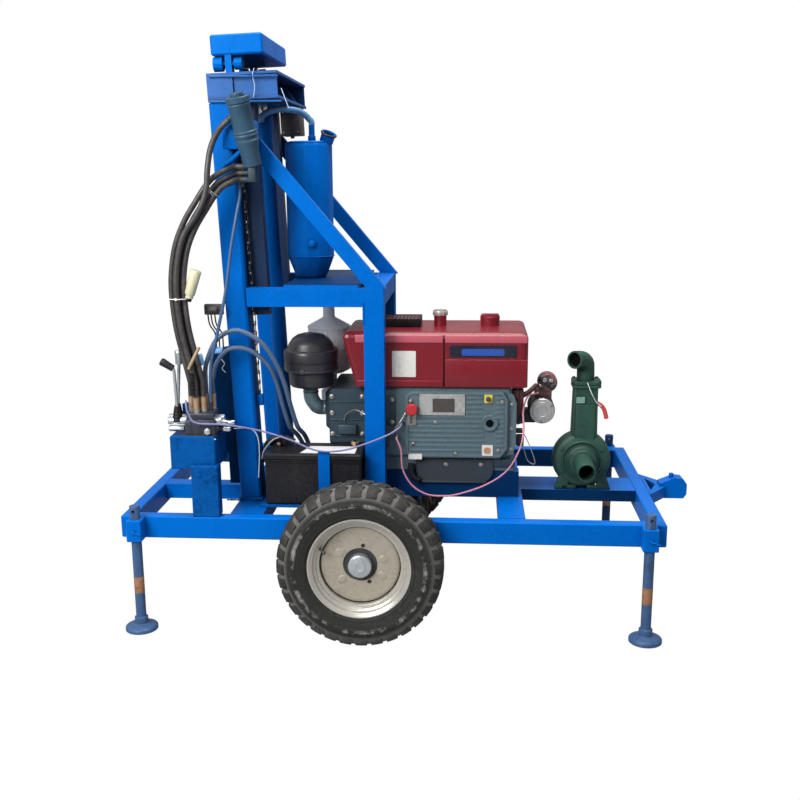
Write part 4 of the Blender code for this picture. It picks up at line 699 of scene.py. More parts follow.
def build_leg(row, side, col, end):
    at = CHASSIS @ Matrix.Translation((end * 0.9465, side * 0.5705, 0))
    body = "%s_%s_leg" % (row, col)
    tube = lathe([(0, 0.489), (0.015, 0.49), (0.018, 0.4905), (0.019, 0.4885), (0.019, 0.053), (0.0245, 0.05),
        (0.0252, 0.048), (0.0252, 0.027), (0.03, 0.024), (0.048, 0.02), (0.059, 0.014), (0.0608, 0.011), (0.061,
        0.001), (0.06, 0.0), (0, 0)], steps=40)
    tube = minus(tube, rod((0, -0.05, 0.472), (0, 0.05, 0.472), 0.0062, 20))
    # Legs on the far side take the darker leg blue: painted shade.
    done("leg_tube_%s_%s" % (row, col), tube, LEG_BLUE if side < 0 else LEG_SHADED_FAR, at, body, ["leg_%s_%s" % (row,
        col)], 40)
    band = lathe([(0.0188, 0.148), (0.01925, 0.15), (0.01925, 0.212), (0.0188, 0.214)], steps=40)
    done("leg_band_%s_%s" % (row, col), band, RUST, at, body)
    knob = merged(rod((0, side * 0.027, 0.398), (0, side * 0.04, 0.398), 0.0075, 6, bevel=0.0006), pipe([(0,
        side * 0.038, 0.398), (0.012, side * 0.044, 0.396), (0.03, side * 0.044, 0.39)], 0.0052, 0.004))
    done("leg_lock_%s_%s" % (row, col), knob, BLUE, at)


for row, side in (("near", -1), ("far", 1)):
    for col, end in (("rear", -1), ("front", 1)):
        build_leg(row, side, col, end)


# Mast: roller chain, cylinder, and small fittings

def chain_link(outer):
    """Two plates of one link, flat across the mast, the first pin at w = 0."""
    r = 0.009 if outer else 0.0084
    loop = []
    for w, first in ((0.0, math.pi), (CHAIN_PITCH, 0.0)):
        for i in range(13):
            turn = first + math.pi * i / 12
            loop.append((r * math.cos(turn), w + r * math.sin(turn)))
        side = 1 if w else -1
        loop += [(-side * r * 0.55, CHAIN_PITCH / 2 + bend * side * CHAIN_PITCH * 0.12) for bend in (1, -1)]
    u = 0.0035 if outer else 0.0018
    return merged(plate("YZ", (u, u + 0.0014), loop, bevel=0.0003), plate("YZ", (-u - 0.0014, -u), loop,
        bevel=0.0003))


def build_chain():
    u, v, foot, count = 0.097, -0.266, 0.42, 28
    places = [Matrix.Translation((u, v, foot + 0.004 + i * CHAIN_PITCH)) for i in range(count + 1)]
    strand = merged(spread(chain_link(True), places[1:count:2]), spread(chain_link(False), places[0:count:2]))
    done("chain_links", strand, CHAIN, MAST, over=["feed_chain"], smooth=40)
    pin = merged(rod((-0.0052, 0, 0), (0.0052, 0, 0), 0.0028, 12, bevel=0.0004), rod((-0.0018, 0, 0), (0.0018,
        0, 0), 0.0056, 16))
    done("chain_pins", spread(pin, places), STEEL, MAST, smooth=40)
    anchor = merged(box((0.0835, 0.109), (v - 0.012, v + 0.012), (foot - 0.049, foot - 0.006), 0.002),
        box((0.095, 0.099), (v - 0.006, v + 0.006), (foot - 0.02, foot + 0.01), 0.001))
    done("chain_anchor", anchor, BLUE, MAST)


def build_cylinder():
    """The lift cylinder: tube, gland, foot, port and rod."""
    u = CYLINDER_U
    at = Matrix.Translation((u, 0, 0))
    tube = lathe([(0, 0.0145), (0.03, 0.0145), (0.0315, 0.016), (0.0315, 1.418), (0.0335, 1.42), (0.0365,
        1.423), (0.0365, 1.468), (0.035, 1.47), (0.0182, 1.47), (0.0182, 1.44)], at)
    foot = box((u - 0.045, u + 0.02), (-0.045, 0.045), (0.0065, 0.0195), 0.0015)
    port = merged(rod((u, -0.03, 1.45), (u, -0.044, 1.45), 0.0135, 6, bevel=0.001), rod((u, -0.043, 1.45), (u,
        -0.0475, 1.45), 0.0122, 28))
    done("lift_cylinder", merged(tube, foot, port), BLUE, MAST, over=["feed_barrel"], smooth=40)
    done("cylinder_rod", rod((u, 0, 0.9), (u, 0, 1.508), 0.0175, 48), CHROME, MAST, "lift_frame", ["feed_rod"])


build_chain()
build_cylinder()

STRING = [(-0.4863, -0.3435, 1.6191), (-0.4926, -0.345, 1.5953), (-0.4868, -0.344, 1.5576), (-0.4918, -0.3435,
    1.5199)]
done("tie_string", pipe(STRING, 0.0024, 0.004), LINE, DECK, "lift_frame")
done("cap_line", pipe([(-0.3913, -0.343, 1.5497), (-0.378, -0.345, 1.515), (-0.3655, -0.343, 1.4807)], 0.0026,
    0.004), LINE, DECK, "lift_frame")


# Feed motor: grooved body on its pad, pressed end cover and hose collars

MOTOR_TOP = Vector((-0.528, -0.452, 1.515))
MOTOR_FOOT = Vector((-0.492, -0.4, 1.282))
MOTOR_DOWN = (MOTOR_FOOT - MOTOR_TOP).normalized()
SIDE_WAY = Vector((-0.75, 0, -0.66)).normalized()
SIDE_PORT = MOTOR_TOP.lerp(MOTOR_FOOT, 0.18) + SIDE_WAY * 0.055
DRAIN_PORT = Vector((-0.512, -0.364, 1.241))
HOSE_SEAT = Vector((-0.527, -0.406, 1.254))
HOSE_PITCH = 0.0228
HOSE_SPOTS = ((0.0, -0.8), (-1.0, 0.1), (1.0, 0.1), (0.0, 0.55))


def build_motor():
    at = aimed(MOTOR_TOP, MOTOR_DOWN)
    length = (MOTOR_FOOT - MOTOR_TOP).length
    body = [(0.0, 0.003), (0.03, 0.003), (0.033, 0.0), (0.041, 0.0), (0.043, 0.002), (0.043, 0.02), (0.0405,
        0.0225), (0.0392, 0.025), (0.0405, 0.027), (0.0405, 0.03), (0.0392, 0.032), (0.039, 0.118), (0.0425,
        0.1205), (0.0432, 0.123), (0.0425, 0.1262), (0.04, 0.1282), (0.0425, 0.1305), (0.0436, 0.134), (0.0425,
        0.139), (0.0395, 0.142), (0.0392, 0.15), (0.0415, 0.1525), (0.041, 0.162), (0.0375, 0.169), (0.0372,
        0.178), (0.0345, 0.185), (0.033, length), (0, length)]
    obj = lathe(body, at, 56)
    boss = rod((0, 0, -0.0125), (0, 0, 0.004), 0.0235, 40, bevel=0.0015)
    boss.data.transform(at)
    mid = MOTOR_TOP.lerp(MOTOR_FOOT, 0.55)
    bracket = box((-0.597, mid.x + 0.03), (mid.y + 0.01, -0.3355), (1.337, 1.437), 0.006)
    side = merged(rod(SIDE_PORT - SIDE_WAY * 0.045, SIDE_PORT - SIDE_WAY * 0.01, 0.0105, 20), rod(SIDE_PORT
        - SIDE_WAY * 0.026, SIDE_PORT - SIDE_WAY * 0.012, 0.0135, 6, bevel=0.001))
    foot = box((-0.506, -0.478), (-0.424, -0.353), (1.222, 1.292), 0.004)
    drain = rod(DRAIN_PORT + Vector((0.012, 0, 0)), DRAIN_PORT, 0.0075, 20)
    done("motor_foot", merged(foot, drain), HEAD_GREY)
    done("motor_bracket", bracket, BLUE)
    done("motor_body", merged(obj, boss, side), MOTOR, over=["feed_motor"], smooth=35)
    tube = pipe([(mid.x, mid.y + 0.03, 1.352), (mid.x - 0.046, mid.y + 0.025, 1.312), (mid.x - 0.092, mid.y
        + 0.02, 1.272)], 0.02)
    done("motor_tube", tube, BLUE)
    collars = [rod(SIDE_PORT - SIDE_WAY * 0.012, SIDE_PORT, 0.0115, 28, bevel=0.001)]
    for across, back in HOSE_SPOTS[1:]:
        seat = HOSE_SEAT + Vector((0, back * HOSE_PITCH, -across * HOSE_PITCH))
        collars.append(rod(seat + Vector((0.022, 0, 0)), seat, 0.0108, 28, bevel=0.001))
    done("motor_collars", merged(*collars), HEAD_GREY)
    slots = spread(box((0.01, 0.019), (-0.0022, 0.0022), (-0.0135, -0.012), 0.0006), turns(6, at))
    dots = spread(rod((0, 0, -0.001), (0, 0, 0.0012), 0.0022, 12), [turn @ Matrix.Translation((0.0372, 0, 0))
        for turn in turns(8, at)])
    done("motor_end_slots", merged(slots, dots), IRON)
    heads = [(-0.582, -0.392, 1.352), (-0.582, -0.392, 1.422)]
    done("motor_bolts", bolts(heads, NEAR, 0.0075), ZINC)


build_motor()


# Dark box under the crosshead: lid, screws and cable gland

def build_head_box():
    x, y, z = (0.1735, 0.255), (0.15, 0.25), (1.3953, 1.508)
    body = merged(box(x, y, z, 0.004), box((x[0] + 0.004, x[1] - 0.004), (y[0] - 0.002, y[0] + 0.002), (z[0]
        + 0.004, z[1] - 0.01), 0.002), rod(((x[0] + x[1]) / 2, y[0] + 0.03, z[0] - 0.01), ((x[0] + x[1]) / 2,
        y[0] + 0.03, z[0]), 0.009, 6, bevel=0.001))
    done("head_box_shell", body, BOX_BROWN, MAST, "lift_frame", ["head_box"])
    seats = [(a, y[0] - 0.0018, b) for a in (x[0] + 0.012, x[1] - 0.012) for b in (z[0] + 0.014, z[1] - 0.02)]
    done("head_box_screws", bolts(seats, NEAR, 0.0032, False), ZINC, MAST, "lift_frame")


build_head_box()


def sheets(face, *rows):
    """Blank plates on a near face: name, x, z, corner, how far out each side is, bevel and material."""
    for name, x, z, corner, (out, back), bevel, mat in rows:
        done(name, plate("XZ", (face - out, face - back), round_loop(x, z, corner), bevel=bevel), mat)


# Engine: crankcase with its ribbed cover, blank plates, speed knob, bolts; heights are above the deck

def build_crankcase():
    """The cover's ribs, edge and fittings on the CAD crankcase."""
    face = -0.272
    loop = [(0.047, 0.186), (0.06, 0.172), (0.412, 0.172), (0.437, 0.205), (0.437, 0.402), (0.421, 0.427),
        (0.064, 0.427), (0.047, 0.411)]
    inner = [(0.055, 0.19), (0.064, 0.18), (0.408, 0.18), (0.429, 0.208), (0.429, 0.399), (0.417, 0.419),
        (0.068, 0.419), (0.055, 0.407)]
    rim_edge = plate("XZ", (face - 0.0035, face + 0.004), loop, inner, bevel=0.001)
    ribs = []
    for i in range(12):
        z = 0.192 + i * 0.019
        for x0, x1 in ((0.06, 0.35), (0.392, 0.426)):
            if i > 7 and x0 < 0.1:
                x0, x1 = 0.28, 0.345
            ribs.append(box((x0, x1), (face - 0.0022, face + 0.002), (z, z + 0.0095), 0.0012))
    boss = lathe([(0.032, -0.004), (0.032, 0.008), (0.03, 0.01), (0.024, 0.01), (0.0225, 0.008), (0.013, 0.008),
        (0.0115, 0.006), (0.011, -0.004)], aimed((0.3705, face, 0.309), NEAR), 48)
    done("cover_ribs", merged(rim_edge, boss, *ribs), TEAL, smooth=30)
    # Painted shade: a near-black plug stands for the dark inside of the boss's hole.
    done("cover_boss_hole", rod((0.3705, face + 0.003, 0.309), (0.3705, face - 0.0085, 0.309), 0.015, 28), SEAM_AND_SHADE)
    side = plate("XZ", (-0.256, -0.249), [(0.438, 0.175), (0.462, 0.18), (0.4735, 0.215), (0.4735, 0.385),
        (0.46, 0.418), (0.438, 0.428)], bevel=0.0015)
    done("cover_side_band", side, TEAL)
    seats = [(0.1615, face - 0.001, 0.308), (0.0755, face - 0.001, 0.221), (0.066, face - 0.003, 0.392), (0.418,
        face - 0.003, 0.392), (0.405, face - 0.003, 0.2), (0.24, face - 0.003, 0.184)]
    done("cover_bolts", bolts(seats, NEAR, 0.0062), STEEL, smooth=25)
    side_seats = [(0.456, -0.256, 0.283), (0.456, -0.256, 0.2), (0.456, -0.256, 0.38)]
    done("case_bolts", bolts(side_seats, NEAR, 0.006), STEEL, smooth=25)
    sheets(face, ("engine_plate", (0.0995, 0.2745), (0.338, 0.421), 0.004, (0.004, 0.0012), 0.0004, SILVER),
        ("plate_window", (0.15, 0.235), (0.35, 0.404), 0.003, (0.0046, 0.0038), 0.0003, BOX_BROWN),
        ("tag_patch", (0.349, 0.376), (0.186, 0.212), 0.01, (0.0042, 0.0034), 0.0003, TAN))
    rivets = spread(ball((0, 0, 0), 0.0028), [Matrix.Translation((x, face - 0.004, z)) for x in (0.105, 0.269)
        for z in (0.344, 0.415)])
    done("plate_rivets", rivets, STEEL)
    sheets(face, ("gauge_tag", (0.3485, 0.3795), (0.388, 0.421), 0.003, (0.0038, 0.001), 0.0004, YELLOW))
    done("gauge_plug", rod((0.364, face - 0.002, 0.404), (0.364, face - 0.016, 0.404), 0.0095, 20, bevel=0.002),
        IRON)
    tags = [plate("XZ", (face - 0.0036, face - 0.001), round_loop(x, z, corner), bevel=0.0004) for x, z,
        corner in (((0.3415, 0.384), (0.178, 0.221), 0.003), ((0.056, 0.1085), (0.16, 0.182), 0.002))]
    done("blank_tag", merged(*tags), LABEL)
    knob = lathe([(0, 0.0), (0.007, 0.0), (0.0075, 0.012), (0.02, 0.015), (0.0225, 0.019), (0.0225, 0.03),
        (0.019, 0.035), (0, 0.036)], aimed((0.0705, face, 0.364), NEAR), 40)
    done("speed_knob", knob, RED_PLASTIC)
    guide = plate("XZ", (face - 0.006, face - 0.001), round_loop((0.052, 0.087), (0.296, 0.352), 0.008),
        round_loop((0.064, 0.075), (0.304, 0.34), 0.005), bevel=0.0006)
    lever = merged(pipe([(0.044, face - 0.01, 0.342), (0.02, face - 0.014, 0.305), (-0.0075, face - 0.01,
        0.266)], 0.007), ball((-0.0075, face - 0.01, 0.266), 0.0085), ball((0.044, face - 0.01, 0.342), 0.007))
    done("speed_quadrant", merged(guide, lever), STEEL)


def build_pan():
    """The oil pan's front, standing before the near bearer, with the drain elbow and the engine foot."""
    face = -0.2475
    frame_loop = [(0.084, 0.157), (0.084, 0.106), (0.091, 0.08), (0.106, 0.06), (0.356, 0.06), (0.377, 0.079),
        (0.388, 0.103), (0.388, 0.157)]
    lip = box((0.104, 0.358), (face - 0.0035, face + 0.01), (0.0585, 0.0665), 0.0025)
    done("pan_front", merged(plate("XZ", (face, -0.2353), frame_loop, bevel=0.0035), lip), PAN_GREY)
    heads = [(0.202, face - 0.0005, 0.132), (0.3395, face - 0.0005, 0.133)]
    done("pan_bolts", bolts(heads, NEAR, 0.007), STEEL, smooth=25)
    elbow = pipe([(0.066, -0.256, 0.138), (0.064, -0.259, 0.104), (0.073, -0.259, 0.082), (0.096, -0.256,
        0.071)], 0.027)
    done("pan_elbow", elbow, BLACK)
    done("engine_foot", box((0.389, 0.466), (-0.249, -0.2353), (0.126, 0.158), 0.003), HEAD_GREY)


def build_head():
    """Rocker cover lines, fuel pipe, injector pump and nuts on the cylinder head's near side."""
    y = -0.216
    rims = [box((-0.258, -0.116), (y - 0.004, y + 0.003), (z, z + 0.006), 0.0015) for z in (0.232, 0.3, 0.372)]
    block = box((-0.225, -0.15), (y - 0.022, y + 0.002), (0.246, 0.286), 0.006)
    block2 = box((-0.105, -0.02), (-0.268, -0.248), (0.205, 0.262), 0.008)
    block3 = box((-0.1, 0.005), (-0.262, -0.248), (0.29, 0.41), 0.01)
    done("head_covers", merged(*rims, block, block2, block3), HEAD_GREY)
    nuts = [(x, y - 0.003, z) for x in (-0.248, -0.128) for z in (0.245, 0.33, 0.396)]
    done("head_nuts", bolts(nuts, NEAR, 0.0075), STEEL, smooth=25)
    more = [(x, -0.262, z) for x in (-0.088, -0.008) for z in (0.305, 0.395)]
    done("case_nuts", bolts(more, NEAR, 0.0068), STEEL, smooth=25)
    fuel = pipe([(-0.06, -0.262, 0.24), (-0.066, -0.285, 0.262), (-0.1, -0.29, 0.33), (-0.15, -0.262, 0.352),
        (-0.19, -0.236, 0.33), (-0.2, -0.222, 0.3)], 0.0065)
    feed = pipe([(-0.04, -0.256, 0.432), (-0.036, -0.284, 0.4), (-0.046, -0.29, 0.33), (-0.06, -0.27, 0.26)],
        0.009)
    done("fuel_pipes", merged(fuel, feed), STEEL)


def build_hood():
    """The hood's pressed lines, painted highlight along the top edge, seam, badge, blank label, caps and
    grille, over the CAD casing.
    """
    face = -0.2552
    crease = box((0.1955, 0.511), (face - 0.0045, face + 0.002), (0.446, 0.554), 0.004, 3)
    crease_rear = box((-0.145, 0.1895), (face - 0.003, face + 0.002), (0.446, 0.47), 0.003, 3)
    done("hood_pressings", merged(crease, crease_rear), RED, smooth=50)
    # Painted highlight: pale red bands along the hood's top edge, where the bevel catches the sky.
    bands = [box(x, (face - 0.002, face + 0.004), (0.617, 0.647), 0.003, 3) for x in ((-0.15, 0.1885), (0.196,
        0.51))]
    done("hood_edge_band", merged(*bands), HOOD_HIGHLIGHT, smooth=50)
    done("hood_seam", box((0.19, 0.1948), (face - 0.0012, face + 0.001), (0.447, 0.634), 0.0005), SEAM_AND_SHADE)
    sheets(face, ("hood_badge", (0.2135, 0.4695), (0.563, 0.609), 0.006, (0.003, -0.001), 0.0006, BADGE),
        ("badge_centre", (0.26, 0.423), (0.569, 0.595), 0.008, (0.0036, 0.002), 0.0004, BADGE_BLUE),
        ("hood_label", (-0.0075, 0.0845), (0.484, 0.585), 0.003, (0.0018, -0.001), 0.0003, LABEL))
    fuel = merged(lathe([(0, 0), (0.016, 0), (0.016, 0.04), (0.027, 0.041), (0.0285, 0.044), (0.0285, 0.058),
        (0.0265, 0.0615), (0.012, 0.063), (0, 0.063)], Matrix.Translation((0.172, -0.06, 0.6565)), 40),
        spread(box((0.0275, 0.03), (-0.0022, 0.0022), (0.698, 0.715), 0.0006), turns(12,
        Matrix.Translation((0.172, -0.06, 0)))))
    done("fuel_cap", fuel, CAP_GREY)
    water = merged(lathe([(0, 0), (0.034, 0), (0.034, 0.018), (0.0385, 0.019), (0.039, 0.036), (0.036, 0.04),
        (0.015, 0.0405), (0, 0.0405)], Matrix.Translation((0.37, -0.05, 0.6565)), 40), box((0.335, 0.405),
        (-0.062, -0.038), (0.69, 0.7035), 0.004))
    done("water_cap", water, RED)
    slats = [box((-0.05 + i * 0.0143, -0.0415 + i * 0.0143), (-0.116, 0.016), (0.6865, 0.689), 0.0008)
        for i in range(10)]
    rim_edge = plate("XY", (0.656, 0.69), round_loop((-0.057, 0.097), (-0.122, 0.022), 0.008),
        round_loop((-0.053, 0.093), (-0.118, 0.018), 0.006), bevel=0.001)
    done("hood_grille", merged(rim_edge, *slats), BLACK)


def build_belt_side():
    """Flywheel and pulley on the far side, turned smoothly."""
    at = aimed((0.2, 0.1803, 0.28), FAR)
    wheel = [(0, 0.074), (0.033, 0.074), (0.036, 0.07), (0.04, 0.045), (0.118, 0.045), (0.15, 0.06), (0.165,
        0.073), (0.168, 0.075), (0.203, 0.075), (0.205, 0.073), (0.205, 0.014), (0.203, 0.012), (0.045, 0.012),
        (0.045, 0), (0, 0)]
    holes = [rod((0.08 * math.cos(a), 0.08 * math.sin(a), 0), (0.08 * math.cos(a), 0.08 * math.sin(a), 0.1),
        0.02, 28) for a in (0.4 + TAU * i / 5 for i in range(5))]
    obj = minus(lathe(wheel, steps=96), *holes)
    obj.data.transform(at)
    done("flywheel_turned", obj, IRON, over=["flywheel"], smooth=28)
    done("flywheel_nut", rod((0.2, 0.254, 0.28), (0.2, 0.268, 0.28), 0.024, 6, bevel=0.002), STEEL)
    at = aimed((0.06, 0.2023, -0.185), FAR)
    pulley = lathe([(0, 0.05), (0.021, 0.05), (0.0255, 0.036), (0.052, 0.036), (0.056, 0.049), (0.065, 0.05),
        (0.066, 0.049), (0.066, 0.001), (0.065, 0), (0.012, 0), (0.012, -0.052), (0, -0.052)], at)
    done("pulley_turned", pulley, OXIDE, over=["drive_pulley"], smooth=28)
    done("pulley_nut", rod((0.06, 0.25, -0.185), (0.06, 0.261, -0.185), 0.014, 6, bevel=0.0015), STEEL)


def build_generator():
    """Generator with its silver end cover and the regulator cluster over it."""
    x, y, z = 0.58, -0.06, 0.326
    at = aimed((x, y - 0.075, z), NEAR)
    cover = lathe([(0.05, -0.014), (0.0505, 0.0), (0.048, 0.003), (0.038, 0.0044), (0.037, 0.0058), (0.027,
        0.0064), (0.0225, 0.0074), (0.0205, 0.0048), (0, 0.005)], at, 56)
    done("generator_cover", cover, SILVER, smooth=25)
    body = lathe([(0, 0.004), (0.033, 0.004), (0.0495, 0.012), (0.052, 0.016), (0.052, 0.05), (0.05, 0.053),
        (0.05, 0.06), (0.052, 0.063), (0.052, 0.134), (0.04, 0.148), (0, 0.15)], aimed((x, y - 0.075, z), FAR),
        56)
    arm = box((0.4553, x - 0.02), (y, y + 0.03), (z - 0.066, z - 0.006), 0.004)
    post = rod((0.56, -0.088, 0.4), (0.56, -0.116, 0.4), 0.006, 16)
    done("generator_body", merged(body, arm, post), IRON, over=["generator"])
    screws = [(x + 0.043 * math.cos(a), y - 0.0785, z + 0.043 * math.sin(a)) for a in (0.6, 2.7, 4.6)]
    done("generator_screws", bolts(screws, NEAR, 0.005), STEEL, smooth=25)
    drum = lathe([(0, 0.0), (0.033, 0.0), (0.037, 0.006), (0.0375, 0.056), (0.034, 0.06), (0, 0.06)],
        aimed((0.6015, -0.096, 0.433), FAR), 48)
    ribs = [ring((0.6015, -0.09 + 0.012 * i, 0.433), FAR, 0.0372, 0.0022) for i in range(4)]
    foot = box((x - 0.026, x + 0.04), (y - 0.03, y + 0.05), (z + 0.04, z + 0.082), 0.006)
    done("regulator_drum", merged(drum, foot, *ribs), OXIDE_LIGHT)
    parts = [ball((0.578, -0.104, 0.452), 0.015), ball((0.62, -0.104, 0.42), 0.0135, (1, 0.8, 1)), rod((0.6,
        -0.096, 0.433), (0.6, -0.112, 0.433), 0.013, 20, bevel=0.002)]
    done("regulator_fittings", merged(*parts), IRON)
    strip = plate("YZ", (0.476, 0.482), [(-0.225, 0.3), (-0.19, 0.29), (-0.16, 0.33), (-0.15, 0.432), (-0.225,
        0.436)], bevel=0.0008)
    arm = pipe([(0.485, -0.19, 0.395), (0.52, -0.16, 0.405), (0.556, -0.12, 0.428)], 0.02)
    done("regulator_arm", arm, OXIDE)
    bits = merged(rod((0.588, -0.106, 0.448), (0.588, -0.118, 0.448), 0.009, 16, bevel=0.001), box((0.606,
        0.622), (-0.112, -0.098), (0.438, 0.45), 0.002), ball((0.572, -0.106, 0.424), 0.008))
    done("regulator_terminals", bits, ZINC)
    lugs = merged(box((0.476, 0.506), (-0.212, -0.185), (0.2, 0.246), 0.005), rod((0.476, -0.2, 0.262), (0.5,
        -0.2, 0.262), 0.011, 6, bevel=0.001), rod((0.476, -0.195, 0.292), (0.504, -0.195, 0.3), 0.0085, 16))
    done("case_side_lugs", lugs, IRON)
    strip2 = box((0.456, 0.502), (-0.218, -0.175), (0.33, 0.43), 0.006)
    done("front_bracket", merged(strip, strip2), OXIDE)
    wire = pipe([(0.498, -0.18, 0.26), (0.5245, -0.186, 0.211), (0.5525, -0.186, 0.134), (0.546, -0.182, 0.121),
        (0.523, -0.18, 0.137), (0.506, -0.178, 0.19)], 0.0035, 0.006)
    done("bracket_wire", wire, WIRE)


build_crankcase()
build_pan()
build_head()
build_hood()
build_belt_side()
build_generator()


# Air cleaner and muffler

def build_cleaner():
    at = Matrix.Translation((-0.335, -0.17, 0.428))
    bowl = lathe([(0, 0), (0.068, 0), (0.08, 0.003), (0.0865, 0.011), (0.0885, 0.03), (0.0905, 0.059), (0.095,
        0.0625), (0.103, 0.065), (0.1055, 0.068), (0.1065, 0.074), (0.1065, 0.1), (0.103, 0.102), (0.103,
        0.105), (0.1068, 0.1075), (0.1068, 0.139), (0.105, 0.144), (0.099, 0.148), (0.0965, 0.15), (0.094,
        0.153), (0.086, 0.172), (0.072, 0.192), (0.054, 0.205), (0.03, 0.212), (0, 0.2138)], at, 72)
    done("air_cleaner_drum", bowl, CLEANER, over=["air_cleaner"], smooth=28)
    clamp = merged(ring((-0.335, -0.17, 0.5), UP, 0.1064, 0.002, 56), ring((-0.335, -0.17, 0.575), UP, 0.1045,
        0.0024, 56), box((-0.362, -0.345), (-0.28, -0.27), (0.494, 0.51), 0.002))
    done("air_cleaner_bands", clamp, IRON)
    x, y, z = -0.34, -0.165, 0.428
    route = [(x, y, z - 0.0012), (x, y, z - 0.013), (x, y, z - 0.028), (x + 0.003, y + 0.003, z - 0.053), (x
        + 0.018, y + 0.015, z - 0.083), (x + 0.03, y + 0.03, z - 0.0945), (x + 0.043, y + 0.035, z - 0.096),
        (-0.2828, y + 0.035, z - 0.096)]
    elbow = mesh_of(tube_curve("shape", smooth_route(route, 0.006), 0.0592, 10))
    done("intake_pipe", elbow, CAST, over=["intake_elbow"], smooth=50)
    done("intake_band", merged(ring((x, y, 0.418), UP, 0.03, 0.003), ring((x + 0.0005, y + 0.001, 0.404), UP,
        0.0298, 0.0022)), IRON)


def build_muffler():
    x, y, z = -0.3, 0.11, 0.432
    at = Matrix.Translation((x, y, z))
    drum = lathe([(0, 0), (0.06, 0), (0.086, 0.014), (0.09, 0.018), (0.0905, 0.025), (0.0885, 0.028), (0.088,
        0.186), (0.0905, 0.189), (0.09, 0.196), (0.085, 0.2), (0.028, 0.232), (0.0245, 0.238), (0.024, 0.278),
        (0.0215, 0.278), (0.0215, 0.24), (0, 0.24)], at)
    neck = rod((x, y, z - 0.082), (x, y, z + 0.008), 0.0295, 32)
    elbow = box((x - 0.035, -0.2623), (y - 0.03, y + 0.005), (z - 0.127, z - 0.072), 0.006)
    done("muffler_drum", merged(drum, neck, elbow), MUFFLER, over=["muffler"], smooth=30)
    seam = merged(box((x - 0.006, x + 0.006), (y - 0.0915, y - 0.086), (z + 0.03, z + 0.184), 0.0015), ring((x,
        y, z + 0.11), UP, 0.0882, 0.0016, 56))
    done("muffler_seam", seam, MUFFLER)


build_cleaner()
build_muffler()


# Mud pump: turned casing, flanged tower, elbow, suction stub and fittings

